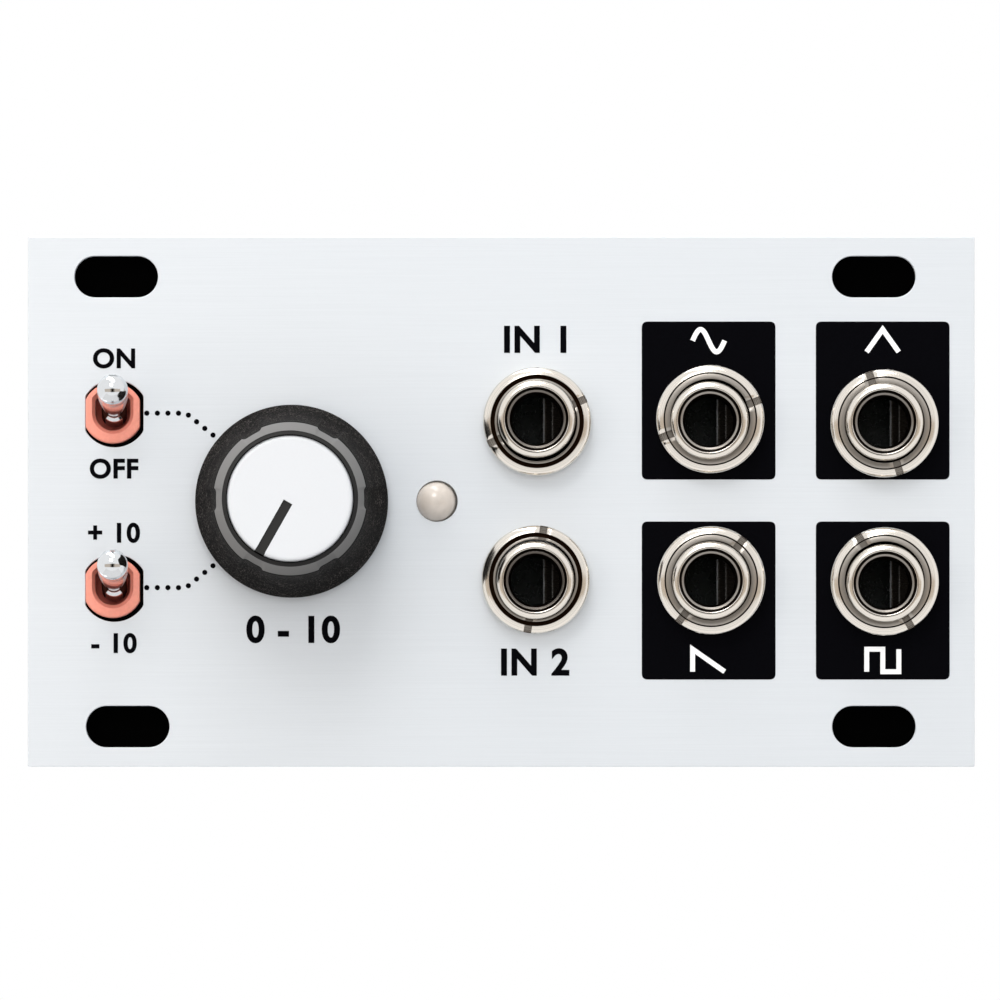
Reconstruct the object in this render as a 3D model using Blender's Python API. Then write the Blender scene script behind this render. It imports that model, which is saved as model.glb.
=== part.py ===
"""A synthesiser module of the one-unit tile format, piece by piece.

Lengths are metres. +X is right and +Z is up as the player sees it, and the panel's front
faces -Y. The origin is on the panel's rear face, midway across it and level with the
centres of the lower screw slots. Depths behind the panel are positive y.
"""

import math

import bmesh
import bpy
from mathutils import Matrix
from mathutils.geometry import delaunay_2d_cdt

# Clearances
SEAT_GAP = 0.0001
FIT_GAP = 0.0001
RUN_GAP = 0.00015
WELD = 0.0000002

# Places of the controls, from the panel's left side to its right
LEFT_MARGIN = 0.0065
SWITCH_TO_KNOB = 0.01324
KNOB_TO_LED = 0.01078
LED_JACK_GAP = 0.00117
RIGHT_MARGIN = 0.00672
JACK_COLUMN_GAP = 0.00402
JACK_ROW_GAP = 0.00158
JACK_COLUMNS = 3
JACK_ROWS = 2
SWITCH_PITCH = 0.01305

# Panel, with its four screw slots
PANEL_HEIGHT = 0.03965
PANEL_THICK = 0.002
SLOT_LENGTH = 0.00625
SLOT_HEIGHT = 0.0031
SLOT_FROM_EDGE = 0.003
SLOT_FROM_SIDE = 0.0075
UPPER_LEFT_SLOT_SHIFT = -0.0008

# Jack housing
JACK_END_ROOM = 0.00075
JACK_DEPTH = 0.0098
JACK_CORNER = 0.0006
JACK_WALL = 0.0007
JACK_FRONT_WALL = 0.0012
JACK_WINDOW_HEIGHT = 0.0042
JACK_WINDOW_DEPTH = 0.0036

# Jack bushing, from its bore outwards
SLEEVE_DIAMETER = 0.00365
MOUTH_STEP = 0.000225
MOUTH_DEPTH = 0.0014
BUSHING_LEAD = 0.0003
BUSHING_FACE = 0.00035
BUSHING_CHAMFER = 0.00025
BUSHING_REACH = 0.0027
FLANGE_RIM = 0.00075
FLANGE_THICK = 0.0008

# Jack nut
NUT_WALL = 0.00099
NUT_HEIGHT = 0.0019
NUT_ROUNDING = 0.0003
NUT_RIM = 0.00045
NUT_GROOVE = 0.00022
NUT_GROOVE_DEPTH = 0.0006
NUT_LAND_DROP = 0.0003
NUT_SLOT_WIDTH = 0.00087
NUT_SLOT_DEPTH = 0.0008
NUT_SLOT_TURNS = (25, 21, 107, 81, 52, 120)

# Jack contacts, and the pins that come through the front board
SPRING_THICK = 0.00025
SPRING_HEIGHT = 0.0036
SPRING_ROOT_INSET = 0.0004
SPRING_ROOT_RISE = 0.0008
SPRING_CREST_X = 0.0007
SPRING_CREST_DEPTH = 0.0058
SPRING_CREST_HALF = 0.0003
SPRING_END_X = 0.0019
SPRING_END_DEPTH = 0.004
PIN_WIDTH = 0.0007
PIN_THICK = 0.0003
PIN_SQUARE = 0.0006
PIN_TAIL = 0.0009
PIN_HOLE_GAP = 0.0001

# Toggle switches, the barrel from its mouth outwards
SWITCH_CASE_HEIGHT = 0.0081
SWITCH_CASE_DEPTH = 0.0064
SWITCH_BASE_THICK = 0.0012
SWITCH_CORNER = 0.0003
MOUTH_CHAMFER = 0.00022
BARREL_WALL = 0.000625
BARREL_FLAT_DEPTH = 0.0003
BARREL_SHOULDER = 0.000575
BARREL_HOLE_GAP = 0.0002
BARREL_PROUD = 0.00005
SWITCH_LEFT_SHIFT = -0.00006
SWITCH_UP_SHIFT = 0.00009
POCKET_SIDE_ROOM = 0.00027
POCKET_HEIGHT = 0.0046
POCKET_FRONT_WALL = 0.001
SWITCH_PIN_PITCH = 0.0025
PIVOT_BALL_DIAMETER = 0.00256
PIVOT_FROM_FRONT = 0.0016
BAT_LENGTH = 0.0083
BAT_NECK_DIAMETER = 0.0016
BAT_BALL_DIAMETER = 0.0024
BAT_BALL_LIP = 0.0001
BAT_TAIL_DIAMETER = 0.001
BAT_TAIL_IN_POCKET = 0.0004
BAT_TILT = 12.5

# Potentiometer, from its shaft outwards
SHAFT_DIAMETER = 0.006
SHAFT_FLAT_DEPTH = 0.0014
SHAFT_FLAT_LENGTH = 0.007
SHAFT_IN_KNOB = 0.0085
ROTOR_RIM = 0.0008
ROTOR_THICK = 0.0012
POT_THREAD_WALL = 0.00035
POT_THREAD_REACH = 0.0026
POT_NUT_WALL = 0.00145
POT_NUT_THICK = 0.0018
POT_WASHER_RIM = 0.00215
POT_WASHER_THICK = 0.0004
POT_SIDE_WALL = 0.0008
POT_END_WALL = 0.0013
POT_CORNER = 0.0006
POT_DEPTH = 0.0065
POT_PLATE_THICK = 0.001
POT_PIN_PITCH = 0.0025
POT_PIN_FROM_EDGE = 0.0008

# Knob and cap
CAP_DIAMETER = 0.00942
CAP_THICK = 0.0009
CAP_EDGE = 0.0002
CAP_SUNK = 0.0001
POINTER_WIDTH = 0.0008
POINTER_START = 0.0003
POINTER_TURN = 209.5
KNOB_HEIGHT = 0.0138
KNOB_LIFT = 0.0008
KNOB_NUT_ROOM = 0.00045
KNOB_SKIRT_WALL = 0.0011
KNOB_SKIRT_RISE = 0.0015
KNOB_SKIRT_ROUND = 0.0003
KNOB_LIP = 0.0003
KNOB_SHOULDER = 0.0007
KNOB_SHOULDER_RISE = 0.0012
KNOB_HOLLOW_DEPTH = 0.0034
KNOB_HOLLOW_DRAFT = 0.0003
KNOB_BOSS_WALL = 0.0014
KNOB_BOSS_CLEAR = 0.0005
FLUTES = 6
FLUTE_DEPTH = 0.00028
FLUTE_HALF_TURN = 11

# Indicator lamp
LED_DIAMETER = 0.0029
LED_HOLE_GAP = 0.0001
LED_PROUD = 0.0006
LED_BODY = 0.0042
LED_FLANGE_RIM = 0.0004
LED_FLANGE_THICK = 0.001
LED_LEAD = 0.0005
LED_LEAD_PITCH = 0.00254

# Boards and the pin strips that link them
BOARD_THICK = 0.0016
BOARD_SIDE_INSET = 0.001
BOARD_MARGIN = 0.0003
LINK_PINS = 6
LINK_PITCH = 0.00254
LINK_WIDTH = 0.0025
LINK_SOCKET_TALL = 0.0085
LINK_STRIP_TALL = 0.0025
LINK_PIN = 0.00064
LINK_PIN_REACH = 0.0062

# Power header, chips, capacitor and trimmer on the rear board
POWER_FROM_LINK = 0.0006
POWER_ROW_PINS = 5
POWER_END_ROOM = 0.00365
POWER_SIDE_ROOM = 0.00176
POWER_WALL = 0.0011
POWER_TALL = 0.0091
POWER_FLOOR = 0.0026
POWER_KEY = 0.0045
POWER_KEY_DEPTH = 0.0062
POWER_PIN_REACH = 0.0056
CHIP_FROM_POWER = 0.0059
CHIP_LONG = 0.0087
CHIP_SHORT = 0.0039
CHIP_TALL = 0.0016
CHIP_TOP_INSET = 0.0003
CHIP_GAP = 0.0043
CAPACITOR_DIAMETER = 0.005
CAPACITOR_TALL = 0.0054
CAPACITOR_BASE = 0.0012
CAPACITOR_NECK = 0.0004
TRIMMER_SIZE = 0.0066
TRIMMER_CORNER = 0.0003
TRIMMER_TALL = 0.0045
DIAL_DIAMETER = 0.0032
DIAL_DEPTH = 0.0016
DIAL_SLOT_WIDTH = 0.0006
DIAL_SLOT_DEPTH = 0.0007

# Facets round the turned pieces
FINE_STEPS = 60
NUT_STEPS = 24
THREAD_STEPS = 20
SMALL_STEPS = 16
CORNER_STEPS = 3
SHARP_ANGLE = 32

# Sizes that follow
MOUTH_DIAMETER = SLEEVE_DIAMETER + 2 * MOUTH_STEP
THREAD_DIAMETER = MOUTH_DIAMETER + 2 * (BUSHING_LEAD + BUSHING_FACE + BUSHING_CHAMFER)
NUT_DIAMETER = THREAD_DIAMETER + 2 * FIT_GAP + 2 * NUT_WALL
FLANGE_DIAMETER = THREAD_DIAMETER + 2 * FLANGE_RIM
CAVITY_WIDTH = FLANGE_DIAMETER + 2 * FIT_GAP
CAVITY_HEIGHT = CAVITY_WIDTH + 2 * JACK_END_ROOM
JACK_WIDTH = CAVITY_WIDTH + 2 * JACK_WALL
JACK_HEIGHT = CAVITY_HEIGHT + 2 * JACK_WALL
BOARD_HEIGHT = JACK_ROWS * JACK_HEIGHT + (JACK_ROWS - 1) * JACK_ROW_GAP + 2 * BOARD_MARGIN
SWITCH_WAY_DIAMETER = PIVOT_BALL_DIAMETER + 2 * RUN_GAP
SWITCH_MOUTH_DIAMETER = SWITCH_WAY_DIAMETER + 2 * MOUTH_CHAMFER
BARREL_DIAMETER = SWITCH_MOUTH_DIAMETER + 2 * BARREL_WALL
SWITCH_CASE_WIDTH = BARREL_DIAMETER - 2 * BARREL_FLAT_DEPTH + 2 * BARREL_SHOULDER
POCKET_WIDTH = SWITCH_WAY_DIAMETER + 2 * POCKET_SIDE_ROOM
ROTOR_WELL_DIAMETER = SHAFT_DIAMETER + 2 * (ROTOR_RIM + RUN_GAP)
POT_WIDTH = ROTOR_WELL_DIAMETER + 2 * POT_SIDE_WALL
POT_HEIGHT = ROTOR_WELL_DIAMETER + 2 * POT_END_WALL
POT_THREAD_DIAMETER = SHAFT_DIAMETER + 2 * FIT_GAP + 2 * POT_THREAD_WALL
POT_NUT_CORNERS = (POT_THREAD_DIAMETER + 2 * POT_NUT_WALL) / math.cos(math.pi / 6)
KNOB_HOLLOW_DIAMETER = POT_NUT_CORNERS + 2 * KNOB_NUT_ROOM
KNOB_DIAMETER = KNOB_HOLLOW_DIAMETER + 2 * KNOB_SKIRT_WALL
CAP_SEAT_DIAMETER = CAP_DIAMETER + 2 * FIT_GAP
POWER_WIDTH = (POWER_ROW_PINS - 1) * LINK_PITCH + LINK_PIN + 2 * (POWER_END_ROOM + POWER_WALL)
POWER_HEIGHT = LINK_PITCH + LINK_PIN + 2 * (POWER_SIDE_ROOM + POWER_WALL)

# Places across the panel that follow, from its middle
LED_TO_JACKS = LED_DIAMETER / 2 + LED_FLANGE_RIM + LED_JACK_GAP + JACK_WIDTH / 2
JACK_COLUMN_PITCH = JACK_WIDTH + JACK_COLUMN_GAP
JACKS_WIDE = (JACK_COLUMNS - 1) * JACK_COLUMN_PITCH
PANEL_WIDTH = LEFT_MARGIN + SWITCH_TO_KNOB + KNOB_TO_LED + LED_TO_JACKS + JACKS_WIDE + RIGHT_MARGIN
SWITCH_X = LEFT_MARGIN - PANEL_WIDTH / 2
KNOB_X = SWITCH_X + SWITCH_TO_KNOB
LED_X = KNOB_X + KNOB_TO_LED
FIRST_JACK_X = LED_X + LED_TO_JACKS
LAST_JACK_X = FIRST_JACK_X + JACKS_WIDE
LINK_LEFT_X = (SWITCH_X + KNOB_X) / 2
LINK_RIGHT_X = LAST_JACK_X - JACK_COLUMN_PITCH / 2
POWER_X = LINK_LEFT_X + LINK_WIDTH / 2 + POWER_FROM_LINK + POWER_WIDTH / 2
CHIP_X = POWER_X + POWER_WIDTH / 2 + CHIP_FROM_POWER + CHIP_SHORT / 2

# Heights and depths that follow
MIDDLE_Z = PANEL_HEIGHT / 2 - SLOT_FROM_EDGE
UPPER_SLOT_Z = PANEL_HEIGHT - 2 * SLOT_FROM_EDGE
FRONT_Y = -PANEL_THICK
JACK_FRONT_Y = SEAT_GAP
JACK_BACK_Y = JACK_FRONT_Y + JACK_DEPTH
CAVITY_Y = JACK_FRONT_Y + JACK_FRONT_WALL
BOARD_Y = JACK_BACK_Y + SEAT_GAP
BOARD_BACK_Y = BOARD_Y + BOARD_THICK
SWITCH_FRONT_Y = JACK_BACK_Y - SWITCH_CASE_DEPTH
POCKET_Y = SWITCH_FRONT_Y + POCKET_FRONT_WALL
PIVOT_Y = FRONT_Y + PIVOT_FROM_FRONT
POT_FRONT_Y = JACK_BACK_Y - POT_DEPTH
POT_TIP_Y = FRONT_Y - SEAT_GAP - POT_THREAD_REACH
KNOB_BASE_Y = FRONT_Y - KNOB_LIFT
KNOB_TOP_Y = KNOB_BASE_Y - KNOB_HEIGHT
SHAFT_TIP_Y = KNOB_BASE_Y - SHAFT_IN_KNOB
LINK_BACK_Y = BOARD_BACK_Y + SEAT_GAP + LINK_SOCKET_TALL + SEAT_GAP + LINK_STRIP_TALL
REAR_BOARD_Y = LINK_BACK_Y + SEAT_GAP
REAR_FACE_Y = REAR_BOARD_Y + BOARD_THICK
REAR_SEAT_Y = REAR_FACE_Y + SEAT_GAP


def jack_places():
    """Centre of each jack, along the upper row and then the lower."""
    places = []
    for row in range(JACK_ROWS):
        z = MIDDLE_Z + ((JACK_ROWS - 1) / 2 - row) * (JACK_HEIGHT + JACK_ROW_GAP)
        for column in range(JACK_COLUMNS):
            places.append((FIRST_JACK_X + column * JACK_COLUMN_PITCH, z))
    return places


def switch_places():
    half = SWITCH_PITCH / 2
    return {"upper": (SWITCH_X, MIDDLE_Z + half), "lower": (SWITCH_X, MIDDLE_Z - half)}


# Outlines: lists of (x, z) points


def moved(loop, x, z):
    return [(px + x, pz + z) for px, pz in loop]


def circle(diameter, steps):
    turns = [2 * math.pi * i / steps for i in range(steps)]
    return [(diameter / 2 * math.cos(t), diameter / 2 * math.sin(t)) for t in turns]


def rectangle(width, height):
    return [
        (-width / 2, -height / 2),
        (width / 2, -height / 2),
        (width / 2, height / 2),
        (-width / 2, height / 2),
    ]


def rounded(width, height, radius, steps=CORNER_STEPS):
    """A rectangle whose corners are quarter circles."""
    points = []
    for quarter, (sx, sz) in enumerate(((1, 1), (-1, 1), (-1, -1), (1, -1))):
        centre = (sx * (width / 2 - radius), sz * (height / 2 - radius))
        for i in range(steps + 1):
            turn = math.pi / 2 * (quarter + i / steps)
            points.append((centre[0] + radius * math.cos(turn), centre[1] + radius * math.sin(turn)))
    return points


def slot_outline(length, height, steps=SMALL_STEPS // 2):
    """Two half circles joined by straight runs along X."""
    radius = height / 2
    points = []
    for side in (1, -1):
        for i in range(steps + 1):
            turn = math.pi * (i / steps - 1 / 2)
            reach = (length - height) / 2 + radius * math.cos(turn)
            points.append((side * reach, side * radius * math.sin(turn)))
    return points


def oval(width, height, steps):
    """An ellipse with as many points as a circle of these steps."""
    return [(x * width, z * height) for x, z in circle(1, steps)]


def flatted(diameter, depth, steps=SMALL_STEPS // 2):
    """A circle with two upright flats, each cut to this depth."""
    radius = diameter / 2
    open_turn = math.acos((radius - depth) / radius)
    points = []
    for side in (1, -1):
        for i in range(steps + 1):
            turn = open_turn + (math.pi - 2 * open_turn) * i / steps
            points.append((side * radius * math.cos(turn), side * radius * math.sin(turn)))
    return points


def one_flat(diameter, depth, steps=SMALL_STEPS):
    """A circle with one flat, cut to this depth on the +Z side."""
    radius = diameter / 2
    open_turn = math.acos((radius - depth) / radius)
    start = math.pi / 2 + open_turn
    sweep = 2 * math.pi - 2 * open_turn
    turns = [start + sweep * i / steps for i in range(steps + 1)]
    return [(radius * math.cos(t), radius * math.sin(t)) for t in turns]


def inside(point, loop):
    """Whether a point lies within an outline, by counting crossings to its right."""
    x, z = point
    odd = False
    for (ax, az), (bx, bz) in zip(loop, loop[1:] + loop[:1]):
        if (az > z) != (bz > z) and x < ax + (z - az) * (bx - ax) / (bz - az):
            odd = not odd
    return odd


class Skin:
    """Flat faces across Y and bands between outlines, welded into one closed mesh."""

    def __init__(self):
        self.bm = bmesh.new()

    def face(self, y, outer, holes=(), dividers=()):
        """Fills an outline at depth y, leaving its holes; dividers are edges that the fill keeps."""
        loops = [outer, *holes]
        points = [p for loop in loops for p in loop]
        edges = []
        start = 0
        for loop in loops:
            edges += [(start + i, start + (i + 1) % len(loop)) for i in range(len(loop))]
            start += len(loop)
        for a, b in dividers:
            edges.append((points.index(a), points.index(b)))
        flat, _, triangles, _, _, _ = delaunay_2d_cdt(points, edges, [], 1, WELD)
        verts = [self.bm.verts.new((x, y, z)) for x, z in flat]
        for triangle in triangles:
            middle = [sum(flat[i][axis] for i in triangle) / 3 for axis in (0, 1)]
            if inside(middle, outer) and not any(inside(middle, hole) for hole in holes):
                self.bm.faces.new([verts[i] for i in triangle])

    def band(self, loop_a, y_a, loop_b, y_b):
        """Joins two outlines of as many points each."""
        ends = ((loop_a, y_a), (loop_b, y_b))
        rows = [[self.bm.verts.new((x, y, z)) for x, z in loop] for loop, y in ends]
        count = len(loop_a)
        for i in range(count):
            j = (i + 1) % count
            self.bm.faces.new((rows[0][i], rows[0][j], rows[1][j], rows[1][i]))

    def wall(self, loop, y_a, y_b):
        self.band(loop, y_a, loop, y_b)

    def prism(self, y_a, y_b, outer, holes=(), dividers=()):
        for y in (y_a, y_b):
            self.face(y, outer, holes, dividers)
        for loop in (outer, *holes):
            self.wall(loop, y_a, y_b)

    def peg(self, loop, y_root, y_end):
        """A closed-ended bar that grows out of a hole left in a face at y_root."""
        self.wall(loop, y_root, y_end)
        self.face(y_end, loop)

    def mesh(self, name):
        bmesh.ops.remove_doubles(self.bm, verts=self.bm.verts, dist=WELD)
        bmesh.ops.dissolve_degenerate(self.bm, edges=self.bm.edges, dist=WELD)
        bmesh.ops.recalc_face_normals(self.bm, faces=self.bm.faces)
        made = bpy.data.meshes.new(name)
        self.bm.to_mesh(made)
        self.bm.free()
        return made


def turned(name, profile, steps, closed=True):
    """Spins a profile of (radius, y) points about the Y axis, as a ring where it is closed."""
    bm = bmesh.new()
    verts = [bm.verts.new((radius, y, 0)) for radius, y in profile]
    pairs = list(zip(verts, verts[1:])) + ([(verts[-1], verts[0])] if closed else [])
    edges = [bm.edges.new(pair) for pair in pairs]
    bmesh.ops.spin(
        bm,
        geom=verts + edges,
        cent=(0, 0, 0),
        axis=(0, 1, 0),
        angle=2 * math.pi,
        steps=steps,
        use_merge=True,
    )
    bmesh.ops.remove_doubles(bm, verts=bm.verts, dist=WELD)
    bmesh.ops.recalc_face_normals(bm, faces=bm.faces)
    made = bpy.data.meshes.new(name)
    bm.to_mesh(made)
    bm.free()
    return made


def arc(centre_radius, centre_y, radius, start, end, steps):
    """Points of a profile along part of a circle; the turn is measured from +radius towards -y."""
    points = []
    for i in range(steps + 1):
        turn = math.radians(start + (end - start) * i / steps)
        points.append((centre_radius + radius * math.cos(turn), centre_y - radius * math.sin(turn)))
    return points


def block(name, size, centre=(0, 0, 0)):
    bm = bmesh.new()
    bmesh.ops.create_cube(bm, size=1, matrix=Matrix.Translation(centre) @ Matrix.Diagonal((*size, 1)))
    made = bpy.data.meshes.new(name)
    bm.to_mesh(made)
    bm.free()
    return made


def carved(name, base, cutters):
    """The base mesh with each cutter mesh taken out of it."""
    holder = bpy.data.objects.new(name + "_blank", base)
    bpy.context.collection.objects.link(holder)
    helpers = []
    for cutter in cutters:
        helper = bpy.data.objects.new(name + "_cutter", cutter)
        bpy.context.collection.objects.link(helper)
        helpers.append(helper)
        modifier = holder.modifiers.new("cut", "BOOLEAN")
        modifier.object = helper
        modifier.solver = "EXACT"
    graph = bpy.context.evaluated_depsgraph_get()
    made = bpy.data.meshes.new_from_object(holder.evaluated_get(graph))
    made.name = name
    for obj in (holder, *helpers):
        bpy.data.objects.remove(obj)
    return made


def material(name, colour, roughness, metallic=0.0, alpha=1.0):
    made = bpy.data.materials.new(name)
    made.use_nodes = True
    shader = made.node_tree.nodes["Principled BSDF"]
    shader.inputs["Base Color"].default_value = (*colour, 1)
    shader.inputs["Roughness"].default_value = roughness
    shader.inputs["Metallic"].default_value = metallic
    shader.inputs["Alpha"].default_value = alpha
    return made


def place(name, mesh, finish, location=(0, 0, 0), turn=(0, 0, 0), parent=None):
    """Puts a mesh in the scene as a named piece."""
    if not mesh.materials:
        mesh.materials.append(finish)
        mesh.shade_smooth()
        mesh.set_sharp_from_angle(angle=math.radians(SHARP_ANGLE))
    obj = bpy.data.objects.new(name, mesh)
    bpy.context.collection.objects.link(obj)
    obj.location = location
    obj.rotation_euler = [math.radians(t) for t in turn]
    obj.parent = parent
    return obj


def axis_empty(name, location, turn=(0, 0, 0)):
    empty = bpy.data.objects.new(name, None)
    bpy.context.collection.objects.link(empty)
    empty.location = location
    empty.rotation_euler = [math.radians(t) for t in turn]
    return empty


# Pieces


def make_panel(finish):
    """Flat plate with four screw slots, and holes that follow what passes through them."""
    outline = moved(rectangle(PANEL_WIDTH, PANEL_HEIGHT), 0, MIDDLE_Z)
    left = -PANEL_WIDTH / 2 + SLOT_FROM_SIDE
    right = PANEL_WIDTH / 2 - SLOT_FROM_SIDE
    slot = slot_outline(SLOT_LENGTH, SLOT_HEIGHT)
    lower = [moved(slot, left, 0), moved(slot, right, 0)]
    upper = [moved(slot, left + UPPER_LEFT_SLOT_SHIFT, UPPER_SLOT_Z), moved(slot, right, UPPER_SLOT_Z)]
    holes = lower + upper
    for x, z in jack_places():
        holes.append(moved(circle(THREAD_DIAMETER + 2 * FIT_GAP, THREAD_STEPS), x, z))
    for x, z in switch_places().values():
        hole = flatted(BARREL_DIAMETER + 2 * BARREL_HOLE_GAP, BARREL_FLAT_DEPTH)
        holes.append(moved(hole, x, z))
    holes.append(moved(circle(POT_THREAD_DIAMETER + 2 * FIT_GAP, THREAD_STEPS), KNOB_X, MIDDLE_Z))
    holes.append(moved(circle(LED_DIAMETER + 2 * LED_HOLE_GAP, THREAD_STEPS), LED_X, MIDDLE_Z))
    dividers = []
    for pair, pick, corners in ((lower, max, outline[:2]), (upper, min, outline[3:1:-1])):
        near = []
        for loop in pair:
            edge = pick(p[1] for p in loop)
            near.append([p for p in loop if math.isclose(p[1], edge, abs_tol=WELD)])
        dividers.append((max(near[0]), min(near[1])))
        dividers.append((corners[0], min(pair[0])))
        dividers.append((max(pair[1]), corners[1]))
    skin = Skin()
    skin.prism(FRONT_Y, 0, outline, holes, dividers)
    place("panel", skin.mesh("panel"), finish)


def jack_housing():
    """Moulded box, open at the back, with a round way through its front wall and a side window."""
    outer = rounded(JACK_WIDTH, JACK_HEIGHT, JACK_CORNER)
    cavity = rectangle(CAVITY_WIDTH, CAVITY_HEIGHT)
    way = circle(THREAD_DIAMETER + 2 * FIT_GAP, THREAD_STEPS)
    skin = Skin()
    skin.face(JACK_FRONT_Y, outer, [way])
    skin.wall(outer, JACK_FRONT_Y, JACK_BACK_Y)
    skin.face(JACK_BACK_Y, outer, [cavity])
    skin.wall(cavity, JACK_BACK_Y, CAVITY_Y)
    skin.face(CAVITY_Y, cavity, [way])
    skin.wall(way, CAVITY_Y, JACK_FRONT_Y)
    window = block(
        "window",
        (2 * JACK_WALL, JACK_WINDOW_DEPTH, JACK_WINDOW_HEIGHT),
        (-JACK_WIDTH / 2, JACK_BACK_Y - JACK_WINDOW_DEPTH, 0),
    )
    return carved("jack_housing", skin.mesh("jack_housing"), [window])


def jack_bushing():
    """Threaded sleeve with a flange behind the front wall and a stepped, chamfered bore."""
    thread = THREAD_DIAMETER / 2
    mouth = MOUTH_DIAMETER / 2
    sleeve = SLEEVE_DIAMETER / 2
    flange = FLANGE_DIAMETER / 2
    flange_y = CAVITY_Y + SEAT_GAP
    tip = FRONT_Y - BUSHING_REACH
    step = tip + MOUTH_DEPTH
    profile = [
        (sleeve, flange_y + FLANGE_THICK),
        (flange, flange_y + FLANGE_THICK),
        (flange, flange_y),
        (thread, flange_y),
        (thread, tip + BUSHING_CHAMFER),
        (thread - BUSHING_CHAMFER, tip),
        (mouth + BUSHING_LEAD, tip),
        (mouth, tip + BUSHING_LEAD),
        (mouth, step),
        (sleeve, step + (mouth - sleeve)),
    ]
    return turned("jack_bushing", profile, THREAD_STEPS)


def jack_nut():
    """Round nut: rounded rim, groove, lower land round the thread, and two driver slots."""
    outer = NUT_DIAMETER / 2
    bore = THREAD_DIAMETER / 2 + FIT_GAP
    seat = FRONT_Y - SEAT_GAP
    top = seat - NUT_HEIGHT
    groove = outer - NUT_RIM
    profile = [(bore, seat), (outer - NUT_ROUNDING, seat), (outer, seat - NUT_ROUNDING)]
    profile += arc(outer - NUT_ROUNDING, top + NUT_ROUNDING, NUT_ROUNDING, 0, 90, 2)
    profile += [
        (groove, top),
        (groove - NUT_GROOVE / 2, top + NUT_GROOVE_DEPTH),
        (groove - NUT_GROOVE, top + NUT_LAND_DROP),
        (bore, top + NUT_LAND_DROP),
    ]
    blank = turned("jack_nut", profile, NUT_STEPS)
    slots = [
        block("slot", (outer, 2 * NUT_SLOT_DEPTH, NUT_SLOT_WIDTH), (side * (bore + outer / 2), top, 0))
        for side in (1, -1)
    ]
    return carved("jack_nut", blank, slots)


def jack_spring_root():
    """Place of the spring's fixed end, from the jack's axis."""
    x = CAVITY_WIDTH / 2 - SPRING_ROOT_INSET - SPRING_THICK / 2
    return x, JACK_BACK_Y - SPRING_ROOT_RISE


def jack_spring():
    """Leaf that leans in from its root to a crest beside the plug's way, and out again."""
    root_x, root_y = jack_spring_root()
    line = [
        (root_x, root_y + SPRING_ROOT_RISE / 2),
        (root_x, root_y),
        (SPRING_CREST_X, SPRING_CREST_DEPTH + SPRING_CREST_HALF),
        (SPRING_CREST_X, SPRING_CREST_DEPTH - SPRING_CREST_HALF),
        (SPRING_END_X, SPRING_END_DEPTH),
    ]
    line = [(x - root_x, y - root_y) for x, y in line]
    bm = bmesh.new()
    rows = []
    for z in (-SPRING_HEIGHT / 2, SPRING_HEIGHT / 2):
        for side in (-1, 1):
            rows.append([bm.verts.new((x + side * SPRING_THICK / 2, y, z)) for x, y in line])
    below_in, below_out, above_in, above_out = rows
    for i in range(len(line) - 1):
        for a, b in (
            (below_in, below_out),
            (below_out, above_out),
            (above_out, above_in),
            (above_in, below_in),
        ):
            bm.faces.new((a[i], a[i + 1], b[i + 1], b[i]))
    for i in (0, -1):
        bm.faces.new((below_in[i], below_out[i], above_out[i], above_in[i]))
    bmesh.ops.recalc_face_normals(bm, faces=bm.faces)
    made = bpy.data.meshes.new("jack_spring")
    bm.to_mesh(made)
    bm.free()
    return made


def ground_pin_z():
    return FIT_GAP + PIN_THICK / 2 - CAVITY_HEIGHT / 2


def jack_ground_pin():
    """Flat pin from the bushing's flange, along the floor of the housing, out through the board."""
    front = CAVITY_Y + SEAT_GAP
    end = BOARD_BACK_Y + PIN_TAIL
    middle = (0, (front + end) / 2, ground_pin_z())
    return block("jack_ground_pin", (PIN_WIDTH, end - front, PIN_THICK), middle)


def make_jacks(finishes):
    meshes = {
        "housing": (jack_housing(), finishes["black_plastic"]),
        "bushing": (jack_bushing(), finishes["nickel"]),
        "ground_pin": (jack_ground_pin(), finishes["nickel"]),
    }
    nut = jack_nut()
    spring = jack_spring()
    root_x, root_y = jack_spring_root()
    for number, (x, z) in enumerate(jack_places(), 1):
        for piece, (mesh, finish) in meshes.items():
            place(f"jack_{number}_{piece}", mesh, finish, (x, 0, z))
        turn = (0, -NUT_SLOT_TURNS[number - 1], 0)
        place(f"jack_{number}_nut", nut, finishes["nickel"], (x, 0, z), turn)
        place(f"jack_{number}_tip_spring", spring, finishes["bronze"], (x + root_x, root_y, z))


def bat_sweep(depth, diameter):
    """Height that a round stretch of the lever sweeps at this depth from its pivot."""
    tilt = math.radians(BAT_TILT)
    return 2 * depth * math.tan(tilt) + diameter / math.cos(tilt)


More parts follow.
